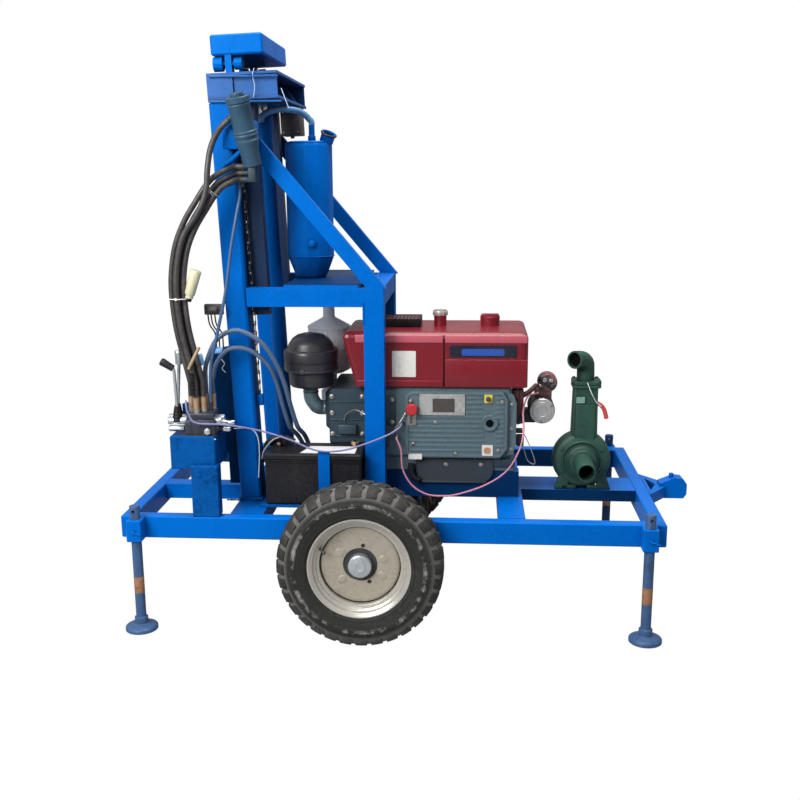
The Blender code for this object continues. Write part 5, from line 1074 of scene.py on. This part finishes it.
def build_pump():
    x, y, z = 0.744, -0.08, 0.121
    at = aimed((x, y, z), NEAR)
    casing = lathe([(0, 0.06), (0.048, 0.06), (0.056, 0.056), (0.062, 0.048), (0.07, 0.0465), (0.074, 0.05),
        (0.079, 0.0505), (0.083, 0.046), (0.098, 0.043), (0.106, 0.038), (0.113, 0.028), (0.1165, 0.016),
        (0.117, 0.004), (0.1165, -0.016), (0.112, -0.029), (0.1, -0.044), (0.062, -0.048), (0.055, -0.052),
        (0.055, -0.178), (0.05, -0.182), (0.03, -0.19), (0.03, -0.24), (0, -0.24)], at, 72)
    stub = lathe([(0.03, 0.05), (0.037, 0.05), (0.052, 0.058), (0.0535, 0.064), (0.0535, 0.082), (0.05, 0.086),
        (0.04, 0.088), (0.0375, 0.092), (0.037, 0.214), (0.036, 0.218), (0.0345, 0.2195), (0.0305, 0.2195),
        (0.0295, 0.217), (0.029, 0.07), (0, 0.07)], at, 56)
    tower = plate("XZ", (y - 0.038, y + 0.038), [(x - 0.044, z + 0.05), (x + 0.059, z + 0.05), (x + 0.056, z
        + 0.309), (x - 0.038, z + 0.309)], bevel=0.006)
    panel = plate("XZ", (y - 0.044, y - 0.03), [(x - 0.034, z + 0.066), (x + 0.048, z + 0.066), (x + 0.046, z
        + 0.232), (x - 0.03, z + 0.232)], bevel=0.005)
    rims = [plate("XY", depth, round_loop((x - 0.046, x + 0.068), (y - 0.048, y + 0.048), 0.018), bevel=0.002)
        for depth in ((z + 0.296, z + 0.308), (z + 0.3095, z + 0.3245))]
    feet = [box((x + a, x + b), (y - 0.04, y + 0.12), (0.0008, 0.018), 0.003) for a, b in ((-0.079, -0.02),
        (0.024, 0.081))]
    feet += [plate("XZ", (y - back, y - front), [(x + a, h) for a, h in foot], bevel=bevel) for back, front,
        bevel, foot in ((0.03, 0.018, 0.002, ((-0.07, 0.012), (-0.03, 0.012), (-0.03, 0.06), (-0.06, 0.07))),
        (0.03, 0.018, 0.002, ((0.034, 0.012), (0.072, 0.012), (0.062, 0.07), (0.034, 0.06))), (0.04, 0.024,
        0.003, ((-0.106, 0.001), (-0.054, 0.001), (-0.05, 0.062), (-0.082, 0.074))), (0.04, 0.024, 0.003,
        ((0.062, 0.001), (0.118, 0.001), (0.094, 0.074), (0.06, 0.062))))]
    feet.append(box((x - 0.044, x + 0.046), (y + 0.05, y + 0.1), (0.01, z - 0.02), 0.003))
    bead_ring = ring((x, y - 0.072, z), FAR, 0.0546, 0.0036, 56)
    body = merged(casing, stub, tower, panel, *rims, *feet, bead_ring)
    done("pump_casing", body, GREEN, over=["mud_pump"], smooth=32)
    build_pump_elbow(x + 0.008, y, z)
    seats = [(x + a, y + b, z + 0.3245) for a in (-0.034, 0.056) for b in (-0.036, 0.036)]
    ring_seats = [(x + 0.09 * math.cos(TAU * (i + 0.5) / 6), y - 0.044, z + 0.09 * math.sin(TAU * (i + 0.5)
        / 6)) for i in (0, 2, 3, 5)]
    foot_seats = [(x + a, y - 0.026 + b, 0.018) for a in (-0.058, 0.062) for b in (0, 0.12)]
    done("pump_bolts", merged(bolts(seats, UP, 0.0065), bolts(ring_seats, NEAR, 0.0065)), GREEN, smooth=25)
    done("pump_foot_bolts", bolts(foot_seats, UP, 0.0075), ZINC, smooth=25)
    done("pump_tag", plate("XZ", (y - 0.0455, y - 0.0435), round_loop((x - 0.03, x + 0.004), (z + 0.236, z
        + 0.262), 0.003), bevel=0.0004), LABEL_GREEN)
    handle = pipe([(x + 0.048, y - 0.02, z + 0.232), (x + 0.068, y - 0.022, z + 0.226), (x + 0.084, y - 0.022, z
        + 0.205), (x + 0.094, y - 0.022, z + 0.17)], 0.017, 0.006)
    done("pump_handle", handle, HANDLE)
    cord = pipe([(x + 0.01, y - 0.052, z + 0.322), (x + 0.03, y - 0.054, z + 0.275), (x + 0.05, y - 0.04, z
        + 0.24), (x + 0.07, y - 0.034, z + 0.222)], 0.0036, 0.006)
    done("handle_string", cord, WHITE)


def build_pump_elbow(x, y, z):
    """The discharge bend, its mouth towards the near side."""
    route = [(x, y, z + 0.319), (x, y, z + 0.345), (x - 0.001, y - 0.001, z + 0.37), (x - 0.004, y - 0.01, z
        + 0.392), (x - 0.02, y - 0.026, z + 0.408), (x - 0.052, y - 0.062, z + 0.414)]
    shell = mesh_of(tube_curve("shape", smooth_route(route, 0.006), 0.07, 10))
    end, way = Vector(route[-1]), (Vector(route[-1]) - Vector(route[-2])).normalized()
    shell = minus(shell, rod(end - way * 0.045, end + way * 0.01, 0.028, 40))
    lip = ring(end - way * 0.003, way, 0.0322, 0.0034, 48)
    # Painted shade: near-black discs inside the elbow's and the stub's mouths.
    dark = merged(rod(end - way * 0.03, end - way * 0.024, 0.0279, 40), rod((x - 0.008, y - 0.1, z), (x - 0.008,
        y - 0.094, z), 0.0289, 40))
    done("pump_mouths", dark, SEAM_AND_SHADE)
    done("pump_elbow", merged(shell, lip), GREEN, smooth=50)


build_pump()


# Controls: valve sections, boots, knobs, ferrules

PORT_MID = (-0.7155, -0.475)
ARCH_PORTS = [(-0.694, -0.425), (-0.668, -0.425)]
PORT_TOP = 0.448
DRAIN_SEAT = (-0.67, -0.455)
CABLE_SEAT = (-0.749, -0.503, 0.402)
LEVERS = ((-0.485, -0.79, (-0.7945, -0.485, 0.552), (-0.843, -0.482, 0.581)), (-0.44, -0.8, (-0.788, -0.441,
    0.565), (-0.786, -0.443, 0.615)))


def build_valve():
    z0 = 0.3053
    body = [box((-0.756, -0.643), (-0.51, -0.41), (z0, z0 + 0.06), 0.004), box((-0.752, -0.647), (-0.506,
        -0.414), (z0 + 0.058, z0 + 0.0847), 0.006)]
    for i in range(3):
        body.append(box((-0.757 + 0.0345 * i, -0.731 + 0.0345 * i), (-0.5125, -0.408), (z0 + 0.004, z0 + 0.054),
            0.003))
    x, y = DRAIN_SEAT
    body.append(rod((x, y, 0.38), (x, y, 0.42), 0.008, 16))
    x, y, z = CABLE_SEAT
    body.append(rod((x, y, z - 0.02), (x, y, z), 0.005, 14))
    body.append(box((-0.763, -0.639), (-0.516, -0.404), (0.3052, 0.3078), 0.0008))
    done("valve_body", merged(*body), VALVE, over=["valve_block"])
    bright, boots, knobs = [], [], []
    for y, x, turn, tip in LEVERS:
        bright.append(rod((x - 0.035, y, z0 + 0.052), (-0.753, y, z0 + 0.052), 0.015, 28, bevel=0.003))
        bright.append(rod((-0.648, y, z0 + 0.052), (-0.624, y, z0 + 0.052), 0.015, 6, bevel=0.0015))
        boots += [rod((x, y, z0 + 0.05 + 0.011 * i), (x, y, z0 + 0.063 + 0.011 * i), 0.021 - 0.002 * i, 28,
            0.0175 - 0.0018 * i, bevel=0.0015) for i in range(5)]
        turn, tip = Vector(turn), Vector(tip)
        way = (tip - turn).normalized()
        bright.append(pipe([(x, y, z0 + 0.09), turn - Vector((0, 0, 0.012)), turn + way * 0.01], 0.012))
        grip = lathe([(0, 0.0), (0.009, 0.0005), (0.0125, 0.003), (0.013, 0.02), (0.014, 0.038), (0.0148, 0.05),
            (0.0125, 0.054), (0.006, 0.0555), (0, 0.0555)], aimed(tip - way * 0.0555, way), 36)
        knobs.append(grip)
    bright.append(rod((-0.6725, -0.505, 0.3233), (-0.6725, -0.519, 0.3233), 0.013, 6, bevel=0.0015))
    bright.append(rod((-0.6725, -0.518, 0.3233), (-0.6725, -0.5205, 0.3233), 0.0075, 24, bevel=0.001))
    done("valve_bright_parts", merged(*bright), ZINC)
    done("lever_boots", merged(*boots), BLACK)
    done("lever_grip_near", knobs[0], BLACK)
    done("lever_grip_far", knobs[1], ZINC)
    collars, nuts = [], []
    ports = [(PORT_MID[0] + a * HOSE_PITCH, PORT_MID[1] + b * HOSE_PITCH) for a, b in HOSE_SPOTS]
    for x, y in ports + ARCH_PORTS:
        nuts.append(rod((x, y, 0.385), (x, y, 0.402), 0.0118, 6, bevel=0.001))
        nuts.append(rod((x, y, 0.4), (x, y, PORT_TOP), 0.0085, 20))
        collars.append(lathe([(0.0086, 0.398), (0.0106, 0.399), (0.0112, 0.404), (0.0104, 0.41), (0.0108, 0.44),
            (0.0104, PORT_TOP - 0.0005), (0.0086, PORT_TOP - 0.0005)], Matrix.Translation((x, y, 0)), 28))
    done("hose_ferrules", merged(*collars), BRASS)
    done("hose_nuts", merged(*nuts), ZINC)


build_valve()


# Battery: lid edge, label, terminals and clamp

def build_battery():
    top = 0.21
    done("battery_label", plate("XY", (top - 0.001, top + 0.0012), [(-0.352, -0.384), (-0.142, -0.384), (-0.142,
        -0.285), (-0.326, -0.285)], bevel=0.0004), LABEL_WHITE)
    ribs = [box((-0.487, -0.118), (-0.4075, -0.404), (z, z + 0.003), 0.0008) for z in (0.183, 0.177)]
    done("battery_ribs", merged(*ribs), BLACK)
    posts, clamps = [], []
    for x in (-0.451, -0.154):
        posts.append(rod((x, -0.26, 0.205), (x, -0.26, 0.2278), 0.0088, 24, 0.0078, bevel=0.001))
        clamps.append(lathe([(0.0092, 0.2125), (0.015, 0.2125), (0.0155, 0.214), (0.0155, 0.224), (0.0145,
            0.2255), (0.0092, 0.2255)], Matrix.Translation((x, -0.26, 0)), 28))
        clamps.append(box((x - 0.006, x + 0.006), (-0.293, -0.272), (0.2135, 0.2245), 0.002))
    done("battery_posts", merged(*posts), STEEL)
    done("battery_clamps", merged(*clamps), BRASS)


build_battery()


# Oil tank: filler neck, seams, sight bolt

def build_tank():
    x, y, top = -0.347, -0.03, 1.3753
    base, tip = Vector((x + 0.06, y, top - 0.03)), Vector((x + 0.085, y - 0.02, top + 0.03))
    way = (tip - base).normalized()
    neck = lathe([(0.0268, 0.03), (0.0272, 0.056), (0.03, 0.06), (0.031, 0.064), (0.03, 0.0676), (0.0245,
        0.0676), (0.0232, 0.065), (0.023, 0.04)], aimed(base, way), 44)
    z0 = 0.8453
    can = lathe([(0, z0), (0.0583, z0), (0.0658, z0 + 0.012), (0.094, z0 + 0.085), (0.094, top - 0.012), (0.082,
        top), (0, top)], Matrix.Translation((x, y, 0)), 12)
    done("tank_can", rounded(can, 0.014, 4, 20), BLUE, over=["oil_tank"], smooth=60)
    rims = [bead([(x + r * math.cos(TAU * i / 12), y + r * math.sin(TAU * i / 12), z) for i in range(13)],
        0.005, z) for r, z in ((0.0868, top - 0.006), (0.0925, z0 + 0.087))]
    done("tank_welds", merged(*rims), BLUE)
    done("filler_neck", neck, BLUE)
    band = ring(base + way * 0.064, way, 0.0285, 0.0042, 44)
    done("filler_ring", band, BLACK)
    # Painted shade: a near-black disc inside the filler neck.
    inside = lathe([(0.0229, 0.0615), (0, 0.0615)], aimed(base, way), 36)
    done("filler_inside", inside, SEAM_AND_SHADE)
    hexes = merged(rod((x + 0.02, y - 0.09, 0.985), (x + 0.02, y - 0.106, 0.985), 0.014, 6, bevel=0.0015),
        rod((x + 0.014, y, top - 0.004), (x + 0.014, y, top + 0.02), 0.0165, 6, bevel=0.0015), rod((x + 0.014,
        y, top + 0.018), (x + 0.014, y, 1.438), 0.0118, 24))
    done("tank_plugs", hexes, BLUE)


build_tank()


# Free cords, along the same routes as in the CAD source

GAP = 0.0003
STRAIGHT = (3 * GAP, 0.02, 0.036, 0.052)
BOW_Y = -0.475


def out_of(seat, way, lengths=STRAIGHT):
    return [Vector(seat) + Vector(way) * h for h in lengths]


def cord_piece(node, points, diameter, mat, step=0.6):
    """A free hose or cable on the CAD cord's own line."""
    points = [DECK @ Vector(p) for p in smooth_route(points, step * diameter)]
    obj = tube_curve("free_" + node, points, diameter, 5)
    obj.data.materials.append(mat)
    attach(obj, "chassis")
    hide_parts(node)


def bundle_centre():
    """The four motor hoses' middle line: from the motor's foot, in a wide bow, down to the valve."""
    bow = [(0.037, 0.045, 1.247), (-0.001, 0.022, 1.228), (-0.034, 0.01, 1.194), (-0.0735, 0.001, 1.134),
        (-0.112, 0, 1.074), (-0.148, 0, 0.99), (-0.167, 0, 0.88), (-0.166, 0, 0.785), (-0.156, 0, 0.69),
        (-0.137, 0, 0.6)]
    start = out_of(HOSE_SEAT, (-1, 0, 0), (3 * GAP, 0.012, 0.024))
    end = [Vector((*PORT_MID, PORT_TOP + h)) for h in STRAIGHT[::-1]]
    middle = smooth_route(start + [Vector((-0.6 + x, BOW_Y + y, z)) for x, y, z in bow] + end, 0.036)
    return start + [p for p in middle if p.x < HOSE_SEAT.x - 0.036 and p.z > PORT_TOP + 0.07] + end


def beside(route, across, back):
    """A line beside a route: across it in the bow's own plane, and back from it in Y."""
    out = []
    for i, p in enumerate(route):
        ahead = route[min(i + 1, len(route) - 1)] - route[max(i - 1, 0)]
        normal = Vector((-ahead.z, 0, ahead.x)).normalized()
        behind = normal.cross(ahead.normalized()).normalized()
        out.append(p + (normal * across + behind * back) * HOSE_PITCH)
    return out


def build_motor_hoses():
    centre = bundle_centre()
    for i, (across, back) in enumerate(HOSE_SPOTS):
        route = beside(centre, across, back)
        if i == 0:
            x, y, z = SIDE_PORT
            tail = [p for p in route if p.z < 1.06]
            bend = [(x - 0.049, y - 0.016, z - 0.061), (x - 0.064, y - 0.03, z - 0.107), (x - 0.072, y - 0.045,
                z - 0.17), (x - 0.078, y - 0.05, z - 0.236), (x - 0.098, y - 0.054, z - 0.296), (x - 0.128, y
                - 0.053, z - 0.344)]
            route = smooth_route(out_of(SIDE_PORT, SIDE_WAY, (3 * GAP, 0.012, 0.024, 0.036)) + bend,
                0.036) + tail
        cord_piece("motor_hose_%d" % (i + 1), route, 0.021, HOSE)


def build_arch_hoses():
    arches = (("arch_hose_upper", 0, [(-0.69, -0.42, 0.56), (-0.65, -0.415, 0.648), (-0.587, -0.41, 0.684),
        (-0.533, -0.405, 0.672), (-0.479, -0.395, 0.632), (-0.437, -0.38, 0.56), (-0.41, -0.36, 0.48)], 0),
        ("arch_hose_lower", 1, [(-0.653, -0.415, 0.56), (-0.618, -0.408, 0.606), (-0.573, -0.4, 0.618), (-0.519,
        -0.392, 0.602), (-0.465, -0.38, 0.55), (-0.44, -0.355, 0.48)], 0.03))
    for node, port, bow, aside in arches:
        x, y = (0.04, 0.08)[port], 0.08
        tail = [(-0.392 - aside, -0.33, 0.38), (-0.375 - aside, -0.29, 0.29), (-0.365 - 0.7 * aside, -0.19 - 0.7
            * aside, 0.23), (-0.33 - 0.3 * aside, -0.12 - aside, 0.12), (-0.24, -0.08 - aside, 0.05), (-0.13,
            -0.05 - aside, 0.032), (-0.04, -0.02 - aside, 0.03), (x - 0.032, y - 0.055, 0.012), (x - 0.006, y
            - 0.014, -0.028)]
        cord_piece(node, out_of((*ARCH_PORTS[port], PORT_TOP), UP) + bow + tail + out_of((x, y, -0.123), UP,
            STRAIGHT[::-1]), 0.018, ARCH)


def build_thin_cords():
    drain = [(-0.537, -0.377, 1.234), (-0.544, -0.385, 1.205), (-0.545, -0.396, 1.166), (-0.5565, -0.415,
        1.097), (-0.5765, -0.43, 0.986), (-0.5975, -0.445, 0.839), (-0.62, -0.45, 0.74), (-0.642, -0.454, 0.65),
        (-0.664, -0.455, 0.56)]
    cord_piece("drain_hose", out_of(DRAIN_PORT, (-1, 0, 0), (3 * GAP, 0.008, 0.016)) + drain
        + out_of((*DRAIN_SEAT, 0.4203), UP, (0.04, 0.026, 0.013, 3 * GAP)), 0.012, HOSE_BLUE)
    port = DECK.inverted() @ MAST @ Vector((CYLINDER_U, -0.0475, 1.45))
    bend = [(0.006, -0.046, 0.006), (0.022, -0.058, 0.018), (0.046, -0.056, 0.03), (0.08, -0.038, 0.037),
        (0.112, -0.01, 0.038), (0.142, 0.014, 0.033), (0.166, 0.029, 0.02), (0.181, 0.036, 0.003)]
    cord_piece("tank_hose", out_of(port, NEAR, (3 * GAP, 0.012, 0.024)) + [port + Vector(p) for p in bend]
        + out_of((-0.333, -0.03, 1.438), UP, (0.012, 3 * GAP)), 0.024, HOSE_PALE, 0.3)
    x, y, z = CABLE_SEAT
    throttle = [(x + 0.002, y - 0.012, z + 0.036), (x + 0.006, y - 0.028, z + 0.03), (x + 0.014, y - 0.034, z
        - 0.004), (-0.707, -0.536, 0.361), (-0.606, -0.508, 0.348), (-0.494, -0.455, 0.315), (-0.383, -0.435,
        0.276), (-0.284, -0.43, 0.234), (-0.192, -0.41, 0.228), (-0.106, -0.38, 0.246), (-0.02, -0.36, 0.277),
        (0.02, -0.335, 0.297)]
    cord_piece("throttle_cable", out_of(CABLE_SEAT, UP, (3 * GAP, 0.01, 0.02)) + throttle + out_of((0.03,
        -0.274, 0.305), NEAR, (0.026, 0.013, 3 * GAP)), 0.007, LILAC, 1.0)
    charge = [(0.03, -0.315, 0.205), (0.036, -0.318, 0.133), (0.071, -0.318, 0.069), (0.127, -0.318, 0.033),
        (0.19, -0.318, 0.026), (0.253, -0.318, 0.035), (0.356, -0.318, 0.073), (0.438, -0.318, 0.132), (0.484,
        -0.31, 0.212), (0.5, -0.285, 0.282), (0.5, -0.235, 0.35), (0.52, -0.18, 0.395)]
    cord_piece("charge_cable", out_of((0.012, -0.274, 0.25), NEAR, (3 * GAP, 0.01, 0.02, 0.03)) + charge
        + out_of((0.56, -0.116, 0.4), NEAR, (0.026, 0.013, 3 * GAP)), 0.007, PINK, 1.0)


build_motor_hoses()
build_arch_hoses()
build_thin_cords()


# Small things seen in the photo beside the CAD forms: plates, ties, bottle, wires, welds

def build_near_details():
    # Painted shade: a thin dark navy sheet on the tray, under the tank.
    tray = box((-0.4035, -0.1265), (-0.3315, 0.2915), (0.8445, 0.8462), 0.0004)
    done("tray_sheet", tray, SHADED_NAVY)
    # The plate beside the column takes the dark navy of painted shade.
    side = plate("XZ", (-0.3, -0.272), [(-0.708, 0.32), (-0.704, 0.59), (-0.63, 0.606), (-0.608, 0.38), (-0.606,
        0.06), (-0.648, 0.06), (-0.65, 0.18), (-0.678, 0.2), (-0.678, 0.32)], bevel=0.002)
    done("column_side_plate", side, SHADED_NAVY)
    done("side_plate_wire", pipe([(-0.664, -0.303, 0.56), (-0.65, -0.304, 0.54), (-0.66, -0.303, 0.52), (-0.646,
        -0.304, 0.505)], 0.0028, 0.004), WHITE)
    bottle = merged(rod((-0.6985, -0.47, 0.912), (-0.726, -0.47, 0.824), 0.0215, 28, 0.019, bevel=0.003),
        rod((-0.724, -0.47, 0.83), (-0.729, -0.47, 0.812), 0.015, 24))
    done("hose_bottle", bottle, CREAM)
    done("bottle_cap", rod((-0.7285, -0.47, 0.814), (-0.7325, -0.47, 0.8), 0.0115, 20, bevel=0.001), BLACK)
    clip = merged(box((-0.702, -0.63), (-0.372, -0.352), (0.737, 0.777), 0.004), rod((-0.684, -0.376, 0.757),
        (-0.65, -0.376, 0.757), 0.012, 20, bevel=0.002))
    done("column_clip", clip, BOX_BROWN)
    wires = [pipe([(-0.69 + d, -0.364, 0.738), (-0.684 + d, -0.366, 0.7), (-0.664 + d, -0.368, 0.665), (-0.66
        + d, -0.372, 0.61)], 0.0055, 0.006) for d in (0, 0.012, 0.026)]
    done("clip_wires", merged(*wires), BLACK)
    done("bundle_strap", pipe([(-0.69, -0.507, 0.637), (-0.712, -0.509, 0.596), (-0.733, -0.507, 0.556)],
        0.012), STRAP)
    sleeve = bead([(-0.722, -0.507, 0.54), (-0.724, -0.51, 0.5), (-0.722, -0.508, 0.458)], 0.017, 1.0)
    done("hose_sleeve", sleeve, BLACK)
    # Painted highlight: pale blue pieces on the side plate's top stand for its sky-lit top.
    pale = merged(rod((-0.662, -0.4, 0.607), (-0.63, -0.4, 0.607), 0.0135, 6, bevel=0.001), rod((-0.708, -0.448,
        0.6), (-0.7, -0.446, 0.56), 0.012, 20, bevel=0.001))
    done("pale_fittings", pale, SKY_LIT_BLUE)


def tie(name, centre, way, across, reach, mat, tail):
    """A cable tie round the hose bundle: an oval band across its run, its head and its loose tail."""
    way, across = Vector(way).normalized(), Vector(across).normalized()
    behind = way.cross(across)
    loop = [Vector(centre) + across * (reach[0] * math.cos(TAU * i / 20)) + behind * (reach[1] * math.sin(TAU
        * i / 20)) for i in range(21)]
    near = min(loop, key=lambda p: p.y)
    head = box((near.x - 0.004, near.x + 0.004), (near.y - 0.004, near.y + 0.002), (near.z - 0.004, near.z
        + 0.004), 0.001)
    end = near + Vector(tail)
    done(name, merged(pipe(loop, 0.004, 0.004), head, pipe([near, near.lerp(end, 0.5) + Vector((0, -0.004, 0)),
        end], 0.0026, 0.004)), mat)


def build_valve_details():
    bright = merged(rod((-0.824, -0.485, 0.327), (-0.766, -0.485, 0.327), 0.0115, 28, bevel=0.002), rod((-0.642,
        -0.452, 0.344), (-0.613, -0.452, 0.344), 0.0135, 6, bevel=0.0015), rod((-0.613, -0.452, 0.344), (-0.584,
        -0.452, 0.344), 0.0095, 24, bevel=0.001), rod((-0.642, -0.452, 0.319), (-0.6, -0.452, 0.319), 0.012, 6,
        bevel=0.0015))
    done("valve_fittings", bright, CHROME)
    done("valve_bracket", plate("XZ", (-0.434, -0.429), [(-0.784, 0.352), (-0.786, 0.41), (-0.752, 0.418),
        (-0.748, 0.352)], bevel=0.0008), BLUE)
    done("stand_edge", box((-0.742, -0.64), (-0.519, -0.5165), (0.2935, 0.297), 0.0006), LINE)


def build_stand_details():
    wire = [(-0.614, -0.342, 0.2926), (-0.5565, -0.343, 0.2934), (-0.5262, -0.343, 0.2695), (-0.5179, -0.343,
        0.2056), (-0.5245, -0.343, 0.097)]
    done("stand_wire", pipe(wire, 0.0048, 0.005), LINE)
    pale = [(-0.5116, -0.33, 0.1695), (-0.5026, -0.328, 0.2023), (-0.4719, -0.32, 0.24), (-0.4344, -0.31,
        0.256)]
    done("battery_cable", pipe(pale, 0.0065, 0.005), WIRE)
    boots = [pipe([(-0.505, -0.285, 0.2), (-0.492, -0.29, 0.232), (-0.462, -0.288, 0.244), (-0.425, -0.28,
        0.236), (-0.398, -0.272, 0.214)], 0.019), pipe([(-0.492, -0.268, 0.212), (-0.462, -0.262, 0.226),
        (-0.43, -0.258, 0.24), (-0.392, -0.262, 0.226)], 0.015), rod((-0.452, -0.262, 0.222), (-0.42, -0.292,
        0.228), 0.0145, 20, bevel=0.002)]
    done("battery_boots", merged(*boots), BLACK)


def build_welds():
    """The crosshead's lips, and weld beads at the near column's and post's feet and on the post."""
    near = -0.3362
    lips = merged(box((-0.656, -0.401), (-0.347, -0.341), (1.589, 1.596), 0.002), box((-0.658, -0.39), (-0.347,
        -0.341), (1.502, 1.509), 0.002))
    done("crosshead_lips", lips, HEAD_BLUE, DECK, "lift_frame")
    runs = [[(-0.655, near, 0.002), (-0.545, near, 0.002)], [(-0.108, near, 0.002), (-0.052, near, 0.002)],
        [(-0.1075, near, 0.7), (-0.1075, near, 0.78)]]
    beads = [bead(run, 0.006, i) for i, run in enumerate(runs)]
    done("frame_welds", merged(*beads), BLUE)


build_near_details()
tie("tie_upper", (-0.634, -0.458, 1.194), (-0.62, -0.1, -0.78), (-0.78, 0, 0.62), (0.035, 0.0245), WIRE, (0.012,
    -0.004, -0.02))
tie("tie_middle", (-0.767, -0.473, 0.81), (0, 0, -1), (1, 0, 0), (0.036, 0.031), WHITE, (0.022, -0.003, 0.002))
build_valve_details()
build_stand_details()
build_welds()


def repaint(mat, layer):
    """Lay a further colour over a material's own: the layer takes the tree and the colour so far."""
    tree = mat.node_tree
    socket = tree.nodes["Principled BSDF"].inputs["Base Color"]
    tree.links.new(layer(tree, socket.links[0].from_socket), socket)
    return mat


def darken_below_crosshead(tree, painted):
    """The sliding columns: dark navy up to the crosshead, which keeps its blue."""
    above = ramp(tree, coordinate(tree, axis=2), DARK_COLUMN_TOP, DARK_COLUMN_TOP + 0.03)
    return mix_color(tree, above, (0.004, 0.02, 0.065, 1), painted)


def dust_ring(tree, painted):
    """The side wall's pale, broken ring of dust, by the distance from the wheel's axle."""
    coords = coordinate(tree)
    flat = add(tree, "ShaderNodeVectorMath", {0: coords, 1: (-WHEEL_X, 0, -AXLE_Z)}, operation="ADD").outputs[0]
    flat = add(tree, "ShaderNodeVectorMath", {0: flat, 1: (1, 0, 1)}, operation="MULTIPLY").outputs[0]
    reach = add(tree, "ShaderNodeVectorMath", {0: flat}, operation="LENGTH").outputs["Value"]
    band = maths(tree, ramp(tree, reach, 0.23, 0.239), ramp(tree, reach, 0.252, 0.243))
    broken = add(tree, "ShaderNodeTexNoise", {"Vector": coords, "Scale": 42.0, "Detail": 6.0}).outputs[0]
    dusty = mix_color(tree, ramp(tree, reach, 0.258, 0.272, 0.0, 0.8), painted, (0.13, 0.127, 0.12, 1))
    return mix_color(tree, maths(tree, band, ramp(tree, broken, 0.47, 0.72)), dusty, (0.3, 0.29, 0.27, 1))


DARK_LOWER_MAST = repaint(paint("greased_mast", (0.012, 0.1, 0.34), 0.45, dirt=(0.01, 0.05, 0.16), amount=0.5,
    edge=0.002, spec=0.2, shade=(0.004, 0.02, 0.07)), darken_below_crosshead)
repaint(DUST, dust_ring)
# The chassis frame and engine subframe take the chassis blue with its painted shade on inner faces.
for node, mat in (("cylinder_head", HEAD_GREY), ("inner_mast", DARK_LOWER_MAST), ("control_stand", STAND),
        ("chassis_frame", CHASSIS_BLUE), ("engine_subframe", CHASSIS_BLUE)):
    frame["nodes"][node].data.materials[0] = mat
